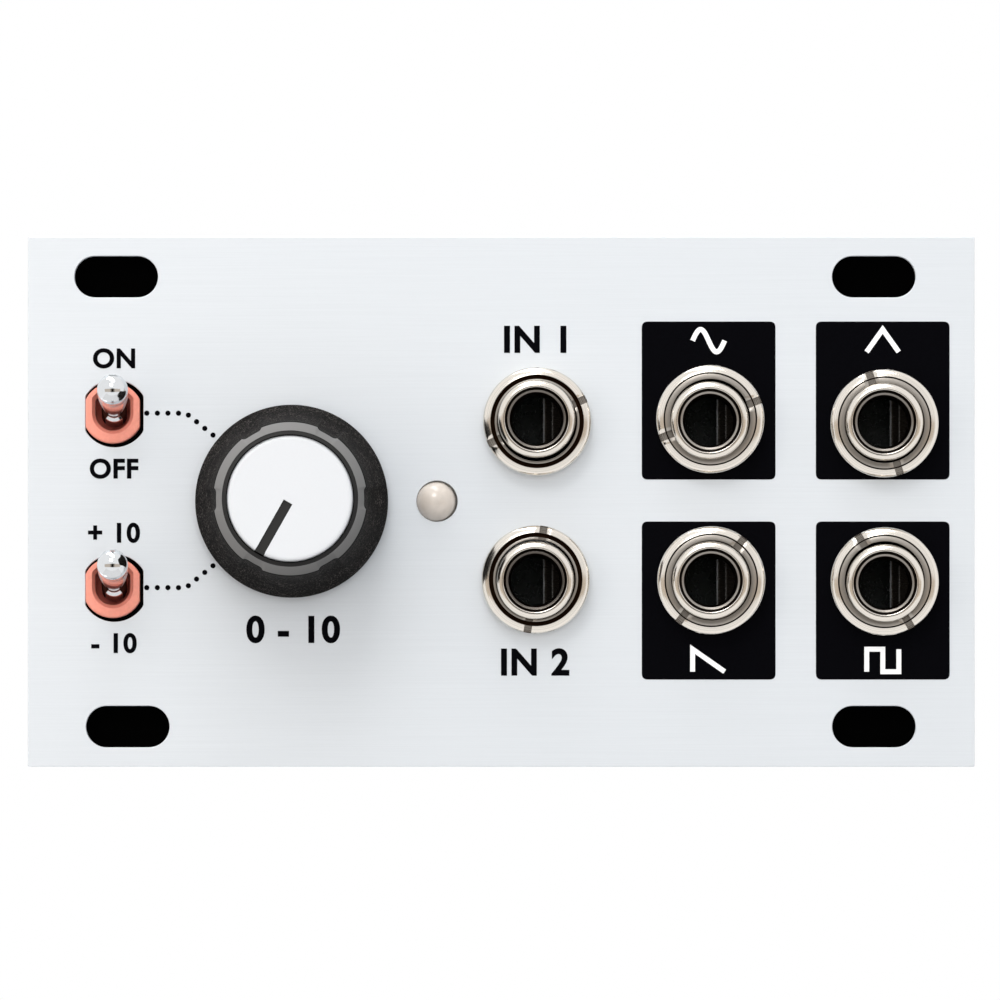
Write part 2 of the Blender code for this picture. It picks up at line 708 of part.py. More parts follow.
def switch_housing():
    """Moulded case with a flatted barrel: chamfered mouth, seat of the pivot ball, and a way
    that opens upwards and downwards for the lever's tail, into a pocket."""
    case = rounded(SWITCH_CASE_WIDTH, SWITCH_CASE_HEIGHT, SWITCH_CORNER)
    barrel = flatted(BARREL_DIAMETER, BARREL_FLAT_DEPTH)
    way = circle(SWITCH_WAY_DIAMETER, THREAD_STEPS)
    mouth = circle(SWITCH_MOUTH_DIAMETER, THREAD_STEPS)
    swept = bat_sweep(POCKET_Y - PIVOT_Y, BAT_TAIL_DIAMETER) + 2 * RUN_GAP
    swing = oval(SWITCH_WAY_DIAMETER, max(swept, SWITCH_WAY_DIAMETER), THREAD_STEPS)
    pocket = rectangle(POCKET_WIDTH, POCKET_HEIGHT)
    tip = FRONT_Y - BARREL_PROUD
    seat = PIVOT_Y + PIVOT_BALL_DIAMETER / 2
    back = JACK_BACK_Y - SWITCH_BASE_THICK - SEAT_GAP
    skin = Skin()
    skin.face(tip, barrel, [mouth])
    skin.wall(barrel, tip, SWITCH_FRONT_Y)
    skin.face(SWITCH_FRONT_Y, case, [barrel])
    skin.wall(case, SWITCH_FRONT_Y, back)
    skin.face(back, case, [pocket])
    skin.wall(pocket, back, POCKET_Y)
    skin.face(POCKET_Y, pocket, [swing])
    skin.band(swing, POCKET_Y, way, seat)
    skin.wall(way, seat, tip + MOUTH_CHAMFER)
    skin.band(way, tip + MOUTH_CHAMFER, mouth, tip)
    return skin.mesh("switch_housing")


def switch_pin_loops():
    pin = rectangle(PIN_SQUARE, PIN_SQUARE)
    return [moved(pin, 0, step * SWITCH_PIN_PITCH) for step in (-1, 0, 1)]


def switch_base():
    """Plug of the case, with its three pins through the board."""
    case = rounded(SWITCH_CASE_WIDTH, SWITCH_CASE_HEIGHT, SWITCH_CORNER)
    back = JACK_BACK_Y
    pins = switch_pin_loops()
    skin = Skin()
    skin.face(back - SWITCH_BASE_THICK, case)
    skin.wall(case, back - SWITCH_BASE_THICK, back)
    skin.face(back, case, pins)
    for pin in pins:
        skin.peg(pin, back, BOARD_BACK_Y + PIN_TAIL)
    return skin.mesh("switch_base")


def switch_bat():
    """Lever about its pivot ball: tail behind, neck and swelling shank in front, ball end."""
    pivot = PIVOT_BALL_DIAMETER / 2
    ball = BAT_BALL_DIAMETER / 2
    neck = BAT_NECK_DIAMETER / 2
    shank = ball - BAT_BALL_LIP
    tail = BAT_TAIL_DIAMETER / 2
    tail_end = POCKET_Y + BAT_TAIL_IN_POCKET - PIVOT_Y
    neck_turn = math.degrees(math.acos(neck / pivot))
    tail_turn = math.degrees(math.acos(tail / pivot))
    shank_turn = math.degrees(math.acos(shank / ball))
    neck_end = -PIVOT_FROM_FRONT
    profile = [(0, tail_end), (tail, tail_end)]
    profile += arc(0, 0, pivot, -tail_turn, neck_turn, 5)
    profile += [(neck, neck_end)]
    profile += arc(0, -BAT_LENGTH, ball, -shank_turn, 90, 5)
    profile[-1] = (0, -BAT_LENGTH - ball)
    return turned("switch_bat", profile, THREAD_STEPS, closed=False)


def make_switches(finishes):
    housing = switch_housing()
    base = switch_base()
    bat = switch_bat()
    for name, (x, z) in switch_places().items():
        seat = (x + SWITCH_LEFT_SHIFT, 0, z + SWITCH_UP_SHIFT)
        place(f"switch_{name}_housing", housing, finishes["salmon_plastic"], seat)
        place(f"switch_{name}_base", base, finishes["black_plastic"], seat)
        pivot = (seat[0], PIVOT_Y, seat[2])
        place(f"switch_{name}_bat", bat, finishes["chrome"], pivot, (-BAT_TILT, 0, 0))


def flute(turn):
    """How far a flute has cut at this turn round the knob: 1 in its middle, 0 on the lobes."""
    spacing = 360 / FLUTES
    away = abs((math.degrees(turn) + spacing / 2) % spacing - spacing / 2)
    return math.cos(math.pi / 2 * min(away / FLUTE_HALF_TURN, 1)) ** 2


def knob_ring(diameter, flute_depth):
    """Outline of the knob at one height; the first flute is at the pointer, along +Z."""
    points = []
    for i in range(FINE_STEPS):
        turn = 2 * math.pi * i / FINE_STEPS
        radius = diameter / 2 - flute_depth * flute(turn - math.pi / 2)
        points.append((radius * math.cos(turn), radius * math.sin(turn)))
    return points


def knob_rings():
    """Rings from the skirt's foot to the top ring, as (outline, height above the foot)."""
    skirt = KNOB_DIAMETER / 2
    inner = CAP_SEAT_DIAMETER / 2 + KNOB_LIP
    shoulder = inner + KNOB_SHOULDER
    flank_top = KNOB_HEIGHT - KNOB_SHOULDER_RISE
    rings = [(knob_ring(KNOB_DIAMETER - 2 * KNOB_SKIRT_ROUND, 0), 0)]
    rings.append((knob_ring(KNOB_DIAMETER, 0), KNOB_SKIRT_ROUND))
    flank_shares = (0, 0.12, 0.28, 0.5, 1)
    for share in flank_shares:
        radius = shoulder + (skirt - shoulder) * (1 - share) ** 2
        height = KNOB_SKIRT_RISE + (flank_top - KNOB_SKIRT_RISE) * share
        rings.append((knob_ring(2 * radius, FLUTE_DEPTH * min(1, 2 * share)), height))
    for turn in (30, 60, 90):
        lean = math.radians(turn)
        radius = inner + KNOB_SHOULDER * math.cos(lean)
        height = flank_top + KNOB_SHOULDER_RISE * math.sin(lean)
        rings.append((knob_ring(2 * radius, FLUTE_DEPTH * math.cos(lean)), height))
    return rings


def knob_body():
    """Fluted grip with a flared skirt, a hollow underside, a D bore and a seat for the cap."""
    rings = knob_rings()
    seat = circle(CAP_SEAT_DIAMETER, FINE_STEPS)
    seat_y = KNOB_TOP_Y + CAP_SUNK + CAP_THICK + SEAT_GAP
    hollow = circle(KNOB_HOLLOW_DIAMETER, THREAD_STEPS)
    roof = circle(KNOB_HOLLOW_DIAMETER - 2 * KNOB_HOLLOW_DRAFT, THREAD_STEPS)
    boss = circle(SHAFT_DIAMETER + 2 * KNOB_BOSS_WALL, THREAD_STEPS)
    bore = one_flat(SHAFT_DIAMETER + 2 * FIT_GAP, SHAFT_FLAT_DEPTH)
    hollow_y = KNOB_BASE_Y - KNOB_HOLLOW_DEPTH
    boss_y = POT_TIP_Y - KNOB_BOSS_CLEAR
    bore_y = SHAFT_TIP_Y - SEAT_GAP
    skin = Skin()
    for (lower, low), (upper, high) in zip(rings, rings[1:]):
        skin.band(lower, KNOB_BASE_Y - low, upper, KNOB_BASE_Y - high)
    skin.face(KNOB_TOP_Y, rings[-1][0], [seat])
    skin.wall(seat, KNOB_TOP_Y, seat_y)
    skin.face(seat_y, seat)
    skin.face(KNOB_BASE_Y, rings[0][0], [hollow])
    skin.band(hollow, KNOB_BASE_Y, roof, hollow_y)
    skin.face(hollow_y, roof, [boss])
    skin.wall(boss, hollow_y, boss_y)
    skin.face(boss_y, boss, [bore])
    skin.peg(bore, boss_y, bore_y)
    return skin.mesh("knob_body")


def knob_cap():
    """Disc with a pointer slot that opens at its edge."""
    top = KNOB_TOP_Y + CAP_SUNK
    radius = CAP_DIAMETER / 2
    profile = [
        (0, top + CAP_THICK),
        (radius, top + CAP_THICK),
        (radius, top + CAP_EDGE),
        (radius - CAP_EDGE, top),
        (0, top),
    ]
    disc = turned("knob_cap", profile, FINE_STEPS // 2, closed=False)
    middle = (0, top, POINTER_START + CAP_DIAMETER / 2)
    slot = block("pointer", (POINTER_WIDTH, 4 * CAP_THICK, CAP_DIAMETER), middle)
    return carved("knob_cap", disc, [slot])


def pot_shaft():
    """Turned shaft and rotor disc, with the D flat cut at the tip."""
    radius = SHAFT_DIAMETER / 2
    rotor = radius + ROTOR_RIM
    rotor_y = POT_FRONT_Y + POT_PLATE_THICK + RUN_GAP
    profile = [
        (0, rotor_y + ROTOR_THICK),
        (rotor, rotor_y + ROTOR_THICK),
        (rotor, rotor_y),
        (radius, rotor_y),
        (radius, SHAFT_TIP_Y),
        (0, SHAFT_TIP_Y),
    ]
    blank = turned("pot_shaft", profile, THREAD_STEPS, closed=False)
    size = (SHAFT_DIAMETER, 2 * SHAFT_FLAT_LENGTH, 2 * SHAFT_FLAT_DEPTH)
    return carved("pot_shaft", blank, [block("flat", size, (0, SHAFT_TIP_Y, radius))])


def pot_bushing():
    """Metal front plate with its threaded bushing, bored for the shaft."""
    plate = rounded(POT_WIDTH, POT_HEIGHT, POT_CORNER)
    thread = circle(POT_THREAD_DIAMETER, THREAD_STEPS)
    bore = circle(SHAFT_DIAMETER + 2 * FIT_GAP, THREAD_STEPS)
    back = POT_FRONT_Y + POT_PLATE_THICK
    skin = Skin()
    skin.face(POT_TIP_Y, thread, [bore])
    skin.wall(thread, POT_TIP_Y, POT_FRONT_Y)
    skin.face(POT_FRONT_Y, plate, [thread])
    skin.wall(plate, POT_FRONT_Y, back)
    skin.face(back, plate, [bore])
    skin.wall(bore, back, POT_TIP_Y)
    return skin.mesh("pot_bushing")


def pot_pin_places():
    """Places of the three pins, from the shaft's axis."""
    z = POT_PIN_FROM_EDGE - POT_HEIGHT / 2
    return [(step * POT_PIN_PITCH, z) for step in (-1, 0, 1)]


def pot_pin_loops():
    pin = rectangle(PIN_SQUARE, PIN_SQUARE)
    return [moved(pin, x, z) for x, z in pot_pin_places()]


def pot_body():
    """Moulded body with a round well for the rotor and three pins through the board."""
    shell = rounded(POT_WIDTH, POT_HEIGHT, POT_CORNER)
    well = circle(ROTOR_WELL_DIAMETER, THREAD_STEPS)
    front = POT_FRONT_Y + POT_PLATE_THICK + SEAT_GAP
    floor = POT_FRONT_Y + POT_PLATE_THICK + ROTOR_THICK + 2 * RUN_GAP
    back = JACK_BACK_Y
    pins = pot_pin_loops()
    skin = Skin()
    skin.face(front, shell, [well])
    skin.wall(well, front, floor)
    skin.face(floor, well)
    skin.wall(shell, front, back)
    skin.face(back, shell, pins)
    for pin in pins:
        skin.peg(pin, back, BOARD_BACK_Y + PIN_TAIL)
    return skin.mesh("pot_body")


def pot_ring(name, outline, thick, y):
    """A washer or nut on the bushing's thread."""
    skin = Skin()
    skin.prism(y - thick, y, outline, [circle(POT_THREAD_DIAMETER + 2 * FIT_GAP, THREAD_STEPS)])
    return skin.mesh(name)


def make_pot_and_knob(finishes):
    centre = (KNOB_X, 0, MIDDLE_Z)
    place("pot_bushing", pot_bushing(), finishes["nickel"], centre)
    place("pot_body", pot_body(), finishes["black_plastic"], centre)
    washer_y = FRONT_Y - SEAT_GAP
    rim = circle(POT_THREAD_DIAMETER + 2 * POT_WASHER_RIM, THREAD_STEPS)
    washer = pot_ring("pot_washer", rim, POT_WASHER_THICK, washer_y)
    place("pot_washer", washer, finishes["nickel"], centre)
    hexagon = circle(POT_NUT_CORNERS, 6)
    nut = pot_ring("pot_nut", hexagon, POT_NUT_THICK, washer_y - POT_WASHER_THICK - SEAT_GAP)
    place("pot_nut", nut, finishes["nickel"], centre)
    axis = axis_empty("knob_axis", centre, (0, POINTER_TURN, 0))
    place("pot_shaft", pot_shaft(), finishes["nickel"], parent=axis)
    place("knob_body", knob_body(), finishes["soft_black"], parent=axis)
    place("knob_cap", knob_cap(), finishes["white_plastic"], parent=axis)


def led_lens():
    """Dome on a round body with a flange at its foot."""
    radius = LED_DIAMETER / 2
    tip = FRONT_Y - LED_PROUD
    foot = tip + LED_BODY + LED_FLANGE_THICK
    profile = [
        (0, foot),
        (radius + LED_FLANGE_RIM, foot),
        (radius + LED_FLANGE_RIM, foot - LED_FLANGE_THICK),
        (radius, foot - LED_FLANGE_THICK),
    ]
    profile += arc(0, tip + radius, radius, 0, 90, 4)
    profile[-1] = (0, tip)
    return turned("led_lens", profile, THREAD_STEPS, closed=False)


def led_lead_places():
    return {"anode": LED_X - LED_LEAD_PITCH / 2, "cathode": LED_X + LED_LEAD_PITCH / 2}


def make_led(finishes):
    place("led_lens", led_lens(), finishes["clear_resin"], (LED_X, 0, MIDDLE_Z))
    start = FRONT_Y - LED_PROUD + LED_BODY + LED_FLANGE_THICK + SEAT_GAP
    end = BOARD_BACK_Y + PIN_TAIL
    lead = block("led_lead", (LED_LEAD, end - start, LED_LEAD), (0, (start + end) / 2, 0))
    for name, x in led_lead_places().items():
        place(f"led_{name}_lead", lead, finishes["nickel"], (x, 0, MIDDLE_Z))


def square_hole(side):
    return rectangle(side + 2 * PIN_HOLE_GAP, side + 2 * PIN_HOLE_GAP)


def link_pin_places():
    """Heights of the link pins from the middle of the board."""
    return [(i - (LINK_PINS - 1) / 2) * LINK_PITCH for i in range(LINK_PINS)]


def front_board_holes():
    """A hole for every pin that comes through the front board."""
    holes = []
    flat = rectangle(PIN_WIDTH + 2 * PIN_HOLE_GAP, PIN_THICK + 2 * PIN_HOLE_GAP)
    for x, z in jack_places():
        holes.append(moved(flat, x, z + ground_pin_z()))
    for x, z in switch_places().values():
        for step in (-1, 0, 1):
            hole = moved(square_hole(PIN_SQUARE), x, z + step * SWITCH_PIN_PITCH)
            holes.append(moved(hole, SWITCH_LEFT_SHIFT, SWITCH_UP_SHIFT))
    for x, z in pot_pin_places():
        holes.append(moved(square_hole(PIN_SQUARE), KNOB_X + x, MIDDLE_Z + z))
    for x in led_lead_places().values():
        holes.append(moved(square_hole(LED_LEAD), x, MIDDLE_Z))
    return holes


def power_pin_loops():
    pins = []
    for column in range(POWER_ROW_PINS):
        for row in (-1 / 2, 1 / 2):
            x = (column - (POWER_ROW_PINS - 1) / 2) * LINK_PITCH
            pins.append(moved(rectangle(LINK_PIN, LINK_PIN), x, row * LINK_PITCH))
    return pins


def rear_board_holes():
    """Holes for the pins of the two link strips."""
    holes = []
    for x in (LINK_LEFT_X, LINK_RIGHT_X):
        for z in link_pin_places():
            holes.append(moved(square_hole(LINK_PIN), x, MIDDLE_Z + z))
    return holes


def make_boards(finishes):
    width = PANEL_WIDTH - 2 * BOARD_SIDE_INSET
    outline = moved(rectangle(width, BOARD_HEIGHT), 0, MIDDLE_Z)
    for name, y, holes in (
        ("front_board", BOARD_Y, front_board_holes()),
        ("rear_board", REAR_BOARD_Y, rear_board_holes()),
    ):
        skin = Skin()
        skin.prism(y, y + BOARD_THICK, outline, holes)
        place(name, skin.mesh(name), finishes["board"])


def link_socket():
    """Receptacle strip on the front board, with a well for each pin."""
    body = rectangle(LINK_WIDTH, LINK_PINS * LINK_PITCH)
    wells = [moved(square_hole(LINK_PIN), 0, z) for z in link_pin_places()]
    front = BOARD_BACK_Y + SEAT_GAP
    back = front + LINK_SOCKET_TALL
    skin = Skin()
    skin.face(front, body)
    skin.wall(body, front, back)
    skin.face(back, body, wells)
    for well in wells:
        skin.peg(well, back, back - LINK_PIN_REACH - PIN_HOLE_GAP)
    return skin.mesh("link_socket")


def link_header():
    """Pin strip on the rear board: pins reach into the socket and out through the board."""
    body = rectangle(LINK_WIDTH, LINK_PINS * LINK_PITCH)
    pins = [moved(rectangle(LINK_PIN, LINK_PIN), 0, z) for z in link_pin_places()]
    back = LINK_BACK_Y
    front = back - LINK_STRIP_TALL
    skin = Skin()
    for y, end in ((front, front - LINK_PIN_REACH), (back, REAR_FACE_Y + PIN_TAIL)):
        skin.face(y, body, pins)
        for pin in pins:
            skin.peg(pin, y, end)
    skin.wall(body, front, back)
    return skin.mesh("link_header")


def power_header():
    """Shrouded two-row header: box with a key gap in its upper wall, and pins rooted in its floor."""
    shell = rectangle(POWER_WIDTH, POWER_HEIGHT)
    well = rectangle(POWER_WIDTH - 2 * POWER_WALL, POWER_HEIGHT - 2 * POWER_WALL)
    front = REAR_SEAT_Y
    back = front + POWER_TALL
    floor = front + POWER_FLOOR
    skin = Skin()
    skin.face(front, shell)
    skin.wall(shell, front, back)
    skin.face(back, shell, [well])
    skin.wall(well, back, floor)
    pins = power_pin_loops()
    skin.face(floor, well, pins)
    for pin in pins:
        skin.peg(pin, floor, floor + POWER_PIN_REACH)
    key = block(
        "key",
        (POWER_KEY, 2 * POWER_KEY_DEPTH, 2 * POWER_WALL),
        (0, back, POWER_HEIGHT / 2 - POWER_WALL / 2),
    )
    return carved("power_header", skin.mesh("power_header"), [key])


def chip():
    """Small-outline package, drawn in above its middle."""
    foot = REAR_SEAT_Y
    middle = foot + CHIP_TALL / 2
    body = rectangle(CHIP_SHORT, CHIP_LONG)
    lid = rectangle(CHIP_SHORT - 2 * CHIP_TOP_INSET, CHIP_LONG - 2 * CHIP_TOP_INSET)
    skin = Skin()
    skin.face(foot, body)
    skin.wall(body, foot, middle)
    skin.band(body, middle, lid, foot + CHIP_TALL)
    skin.face(foot + CHIP_TALL, lid)
    return skin.mesh("chip")


def capacitor():
    """Can with a rolled neck on its moulded base."""
    radius = CAPACITOR_DIAMETER / 2
    foot = REAR_SEAT_Y
    top = foot + CAPACITOR_TALL
    neck_y = foot + CAPACITOR_BASE
    profile = [
        (0, top),
        (radius - CAPACITOR_NECK, top),
        (radius, top - CAPACITOR_NECK),
        (radius, neck_y + 2 * CAPACITOR_NECK),
        (radius - CAPACITOR_NECK, neck_y + CAPACITOR_NECK),
        (radius, neck_y),
        (radius, foot),
        (0, foot),
    ]
    return turned("capacitor", profile, THREAD_STEPS, closed=False)


def trimmer_body():
    """Square case with a round well for its rotor."""
    foot = REAR_SEAT_Y
    top = foot + TRIMMER_TALL
    case = rounded(TRIMMER_SIZE, TRIMMER_SIZE, TRIMMER_CORNER)
    well = circle(DIAL_DIAMETER + 2 * RUN_GAP, SMALL_STEPS)
    skin = Skin()
    skin.face(foot, case)
    skin.wall(case, foot, top)
    skin.face(top, case, [well])
    skin.peg(well, top, top - DIAL_DEPTH)
    return skin.mesh("trimmer_body")


def trimmer_rotor():
    """Round rotor with a screwdriver slot, flush with the case."""
    top = REAR_SEAT_Y + TRIMMER_TALL
    bottom = top - DIAL_DEPTH + RUN_GAP
    skin = Skin()
    skin.prism(bottom, top, circle(DIAL_DIAMETER, SMALL_STEPS))
    slot = block("slot", (2 * DIAL_DIAMETER, 2 * DIAL_SLOT_DEPTH, DIAL_SLOT_WIDTH), (0, top, 0))
    return carved("trimmer_rotor", skin.mesh("trimmer_rotor"), [slot])


def make_rear_parts(finishes):
    socket = link_socket()
    header = link_header()
    for side, x in (("left", LINK_LEFT_X), ("right", LINK_RIGHT_X)):
        place(f"link_socket_{side}", socket, finishes["black_plastic"], (x, 0, MIDDLE_Z))
        place(f"link_header_{side}", header, finishes["black_plastic"], (x, 0, MIDDLE_Z))
    place("power_header", power_header(), finishes["black_plastic"], (POWER_X, 0, MIDDLE_Z))
    package = chip()
    for number, x in enumerate((CHIP_X, CHIP_X + CHIP_SHORT + CHIP_GAP), 1):
        place(f"chip_{number}", package, finishes["black_plastic"], (x, 0, MIDDLE_Z))
    place("capacitor", capacitor(), finishes["aluminium"], (LAST_JACK_X, 0, MIDDLE_Z))
    place("trimmer_body", trimmer_body(), finishes["blue_plastic"], (SWITCH_X, 0, MIDDLE_Z))
    place("trimmer_rotor", trimmer_rotor(), finishes["white_plastic"], (SWITCH_X, 0, MIDDLE_Z))


def main():
    for obj in list(bpy.data.objects):
        bpy.data.objects.remove(obj)
    finishes = {
        "aluminium": material("aluminium", (0.79, 0.81, 0.83), 0.38, 1.0),
        "nickel": material("nickel", (0.72, 0.68, 0.6), 0.22, 1.0),
        "chrome": material("chrome", (0.8, 0.8, 0.8), 0.08, 1.0),
        "bronze": material("bronze", (0.55, 0.42, 0.25), 0.3, 1.0),
        "black_plastic": material("black_plastic", (0.015, 0.015, 0.016), 0.5),
        "salmon_plastic": material("salmon_plastic", (0.81, 0.31, 0.24), 0.42),
        "soft_black": material("soft_black", (0.018, 0.018, 0.019), 0.75),
        "white_plastic": material("white_plastic", (0.86, 0.87, 0.89), 0.4),
        "clear_resin": material("clear_resin", (0.7, 0.64, 0.56), 0.08, 0.0, 0.6),
        "board": material("board", (0.01, 0.03, 0.02), 0.35),
        "blue_plastic": material("blue_plastic", (0.03, 0.12, 0.4), 0.4),
    }
    make_panel(finishes["aluminium"])
    make_jacks(finishes)
    make_switches(finishes)
    make_pot_and_knob(finishes)
    make_led(finishes)
    make_boards(finishes)
    make_rear_parts(finishes)


main()
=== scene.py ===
"""Finishes a one-unit oscillator module round its fixed frame: brushed panel and its print,
nickel jacks, chrome toggles, soft-touch knob, lamp, and the two boards behind.

Lengths are millimetres in the frame's axes, and turn into metres where a mesh, a material or the
stage is made. +X is right and +Z is up as the player sees it. The panel faces -Y, so a smaller y
is nearer to the player. A place in the panel's plane is (x, z), and a depth is y.
"""

import math

import bmesh
import bpy
import numpy as np
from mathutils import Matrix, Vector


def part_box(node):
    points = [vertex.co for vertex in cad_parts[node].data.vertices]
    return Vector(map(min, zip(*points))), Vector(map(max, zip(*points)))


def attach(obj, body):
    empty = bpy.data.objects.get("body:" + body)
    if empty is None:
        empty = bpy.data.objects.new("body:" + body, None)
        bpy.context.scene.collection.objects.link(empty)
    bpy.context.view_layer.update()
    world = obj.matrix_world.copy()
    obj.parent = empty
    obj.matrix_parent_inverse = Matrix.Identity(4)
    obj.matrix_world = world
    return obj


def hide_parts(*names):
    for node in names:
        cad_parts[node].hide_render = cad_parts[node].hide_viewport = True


bl_info = {
    "name": "Oscillator Module Looks",
    "version": (1, 0, 0),
    "blender": (4, 5, 0),
    "location": "View3D > Sidebar > Module",
    "description": "Builds the finished surfaces of a small oscillator module round its frame",
    "category": "Object",
}

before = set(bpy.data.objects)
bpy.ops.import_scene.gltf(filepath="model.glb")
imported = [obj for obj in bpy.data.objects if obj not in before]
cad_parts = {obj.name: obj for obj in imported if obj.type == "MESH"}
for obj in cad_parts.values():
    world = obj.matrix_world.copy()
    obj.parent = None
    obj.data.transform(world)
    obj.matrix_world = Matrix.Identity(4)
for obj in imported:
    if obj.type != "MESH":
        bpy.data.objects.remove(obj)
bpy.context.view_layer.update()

# A millimetre in metres, the gap below which points are one, a whole turn, and how far a layer
# stands proud of what it covers
MM = 0.001
WELD = 0.0001
TURN = 2 * math.pi
OVERLAY = 0.02


def linear(hex_colour):
    """An sRGB hex value as linear red, green, blue and alpha."""
    shades = np.array([int(hex_colour[i : i + 2], 16) for i in (1, 3, 5)]) / 255
    bright = ((shades + 0.055) / 1.055) ** 2.4
    return (*np.where(shades <= 0.04045, shades / 12.92, bright), 1.0)


def corners(node):
    """Lowest and highest corner of a node of the frame."""
    return [np.array(corner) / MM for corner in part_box(node)]


def spot(node):
    """Middle of a node of the frame, as (x, z)."""
    return (sum(corners(node)) / 2)[[0, 2]]


# Places taken from the frame
PANEL_LOW, PANEL_HIGH = corners("panel")
FACE, BACK = PANEL_LOW[1], PANEL_HIGH[1]
PANEL_SPOT = spot("panel")
JACKS = {number: spot(f"jack_{number}_bushing") for number in range(1, 7)}
SWITCHES = {name: spot(f"switch_{name}_housing") for name in ("upper", "lower")}
KNOB = spot("pot_bushing")
LAMP = spot("led_lens")
LEADS = ("led_anode_lead", "led_cathode_lead")
BOARDS = ("front_board", "rear_board")
REAR_FACE = corners("rear_board")[1][1]
FRONT_BOARD_BACK = corners("front_board")[1][1]

# The pointer's turn and the slots of the six nuts, anticlockwise from +X
POINTER_TURN = math.radians(-119.5)
NUT_TURNS = np.radians((25, 21, 107, 81, 52, 120))
TOGGLE_TILT = math.radians(11.3)


def length(title, what, millimetres):
    """A size that a user can change."""
    return bpy.props.FloatProperty(
        name=title, description=what, default=millimetres * MM, min=0, precision=5, unit="LENGTH"
    )


def colour(title, what, hex_colour):
    """A colour that a user can change."""
    tint = linear(hex_colour)
    return bpy.props.FloatVectorProperty(
        name=title, description=what, default=tint, size=4, min=0, max=1, subtype="COLOR"
    )


class ModuleSizes(bpy.types.PropertyGroup):
    """Sizes of what the frame leaves to the looks"""

    brush: length("Brush lines", "Spacing of the brush lines across the panel", 0.09)
    ease: length("Plate edge", "Rounding of the panel's cut edges", 0.06)
    slot_long: length("Slot length", "Length of the four screw slots", 6.25)
    slot_tall: length("Slot height", "Height of the four screw slots", 3.1)
    ink: length("Ink", "Thickness of the printed ink", 0.025)
    label_wide: length("Label width", "Width of each printed black label", 10.0)
    label_tall: length("Label height", "Height of each printed black label", 11.82)
    stroke: length("Stroke", "Width of the printed wave strokes", 0.37)
    dot: length("Dot", "Diameter of the dots in the printed lines", 0.39)
    large_letters: length("Large letters", "Height of the large printed capitals", 1.98)
    small_letters: length("Small letters", "Height of the small printed capitals", 1.45)
    thread: length("Thread pitch", "Pitch of the jack threads", 0.5)
    flute: length("Flute", "Depth of the six flutes of the knob", 0.2)
    speck: length("Speckle", "Size of the grain in the knob's soft coating", 0.15)


class ModuleColours(bpy.types.PropertyGroup):
    """Main colours of the module"""

    panel: colour("Panel", "Clear anodised aluminium", "#D9DEE3")
    nickel: colour("Nickel", "Warm nickel plate of the jacks", "#F1EAE0")
    chrome: colour("Chrome", "Plate of the toggle levers", "#E4E6E8")
    salmon: colour("Salmon", "Moulded toggle housings", "#EB9582")
    ink: colour("Black ink", "Screen-printed black", "#030305")
    white_ink: colour("White ink", "Screen-printed white", "#F7F8F9")
    knob: colour("Knob", "Soft-touch coating", "#060505")
    cap: colour("Cap", "Moulded cap of the knob", "#D0D3D7")
    lamp: colour("Lamp", "Epoxy of the lamp", "#DCD2C8")
    black: colour("Black moulding", "Jack housings and connectors", "#161618")
    board: colour("Solder mask", "Mask of the two boards", "#101513")
    trimmer: colour("Trimmer", "Case of the tuning trimmer", "#2A56A8")


def size(name):
    """A size of the user's, in mm."""
    return getattr(bpy.context.scene.module_sizes, name) / MM


# Shapes


class Shape:
    """Points, the quads and many-sided caps between them, and each point's surface place."""

    def __init__(self, points, quads, surface, caps=()):
        self.points = points
        self.quads = quads
        self.surface = surface
        self.caps = list(caps)

    def moved(self, place):
        points = self.points + (place[0], 0, place[1])
        return Shape(points, self.quads, self.surface, self.caps)


def joined(shapes):
    """One shape of several, with each one's corner numbers shifted past those before it."""
    starts = np.cumsum([0] + [len(shape.points) for shape in shapes[:-1]])
    pairs = list(zip(shapes, starts))
    return Shape(
        np.vstack([shape.points for shape in shapes]),
        np.vstack([shape.quads + start for shape, start in pairs]),
        np.vstack([shape.surface for shape in shapes]),
        [cap + start for shape, start in pairs for cap in shape.caps],
    )


def copied(shape, places):
    """The shape again at each place."""
    return joined([shape.moved(place) for place in places])


def travel(points, side):
    """Distance covered along one side of a grid, averaged over its other side."""
    steps = np.linalg.norm(np.diff(points, axis=side), axis=2).mean(axis=1 - side)
    return np.concatenate(([0], np.cumsum(steps)))


def woven(x, y, z):
    """Quads between the points of a grid whose rows follow the path and columns the profile."""
    points = np.stack((x, y, z), axis=2)
    rows, columns = points.shape[:2]
    corner = np.arange(rows * columns).reshape(rows, columns)
    quads = np.stack((corner[:-1, :-1], corner[1:, :-1], corner[1:, 1:], corner[:-1, 1:]), axis=2)
    along, across = np.meshgrid(travel(points, 0), travel(points, 1), indexing="ij")
    surface = np.stack((along, across), axis=2).reshape(-1, 2)
    return Shape(points.reshape(-1, 3), quads.reshape(-1, 4), surface)


def eased(line, reach, steps=4, closed=False):
    """Rounds the corners of a line. Each corner C becomes the parabola
    (1 - t)^2 A + 2 t (1 - t) C + t^2 B, where A and B lie at the reach before and after it."""
    line = np.asarray(line, float)
    back = np.roll(line, 1, 0) - line
    ahead = np.roll(line, -1, 0) - line
    spans = [np.maximum(np.linalg.norm(way, axis=1), WELD) for way in (back, ahead)]
    take = np.minimum(reach, np.minimum(*spans) / 2)
    start = line + back * (take / spans[0])[:, None]
    end = line + ahead * (take / spans[1])[:, None]
    t = np.linspace(0, 1, steps + 1)[None, :, None]
    curves = (1 - t) ** 2 * start[:, None] + 2 * t * (1 - t) * line[:, None] + t**2 * end[:, None]
    if not closed:
        curves[0], curves[-1] = line[0], line[-1]
    whole = spaced(curves.reshape(-1, 2))
    return spaced(np.vstack((whole, whole[:1]))) if closed else whole


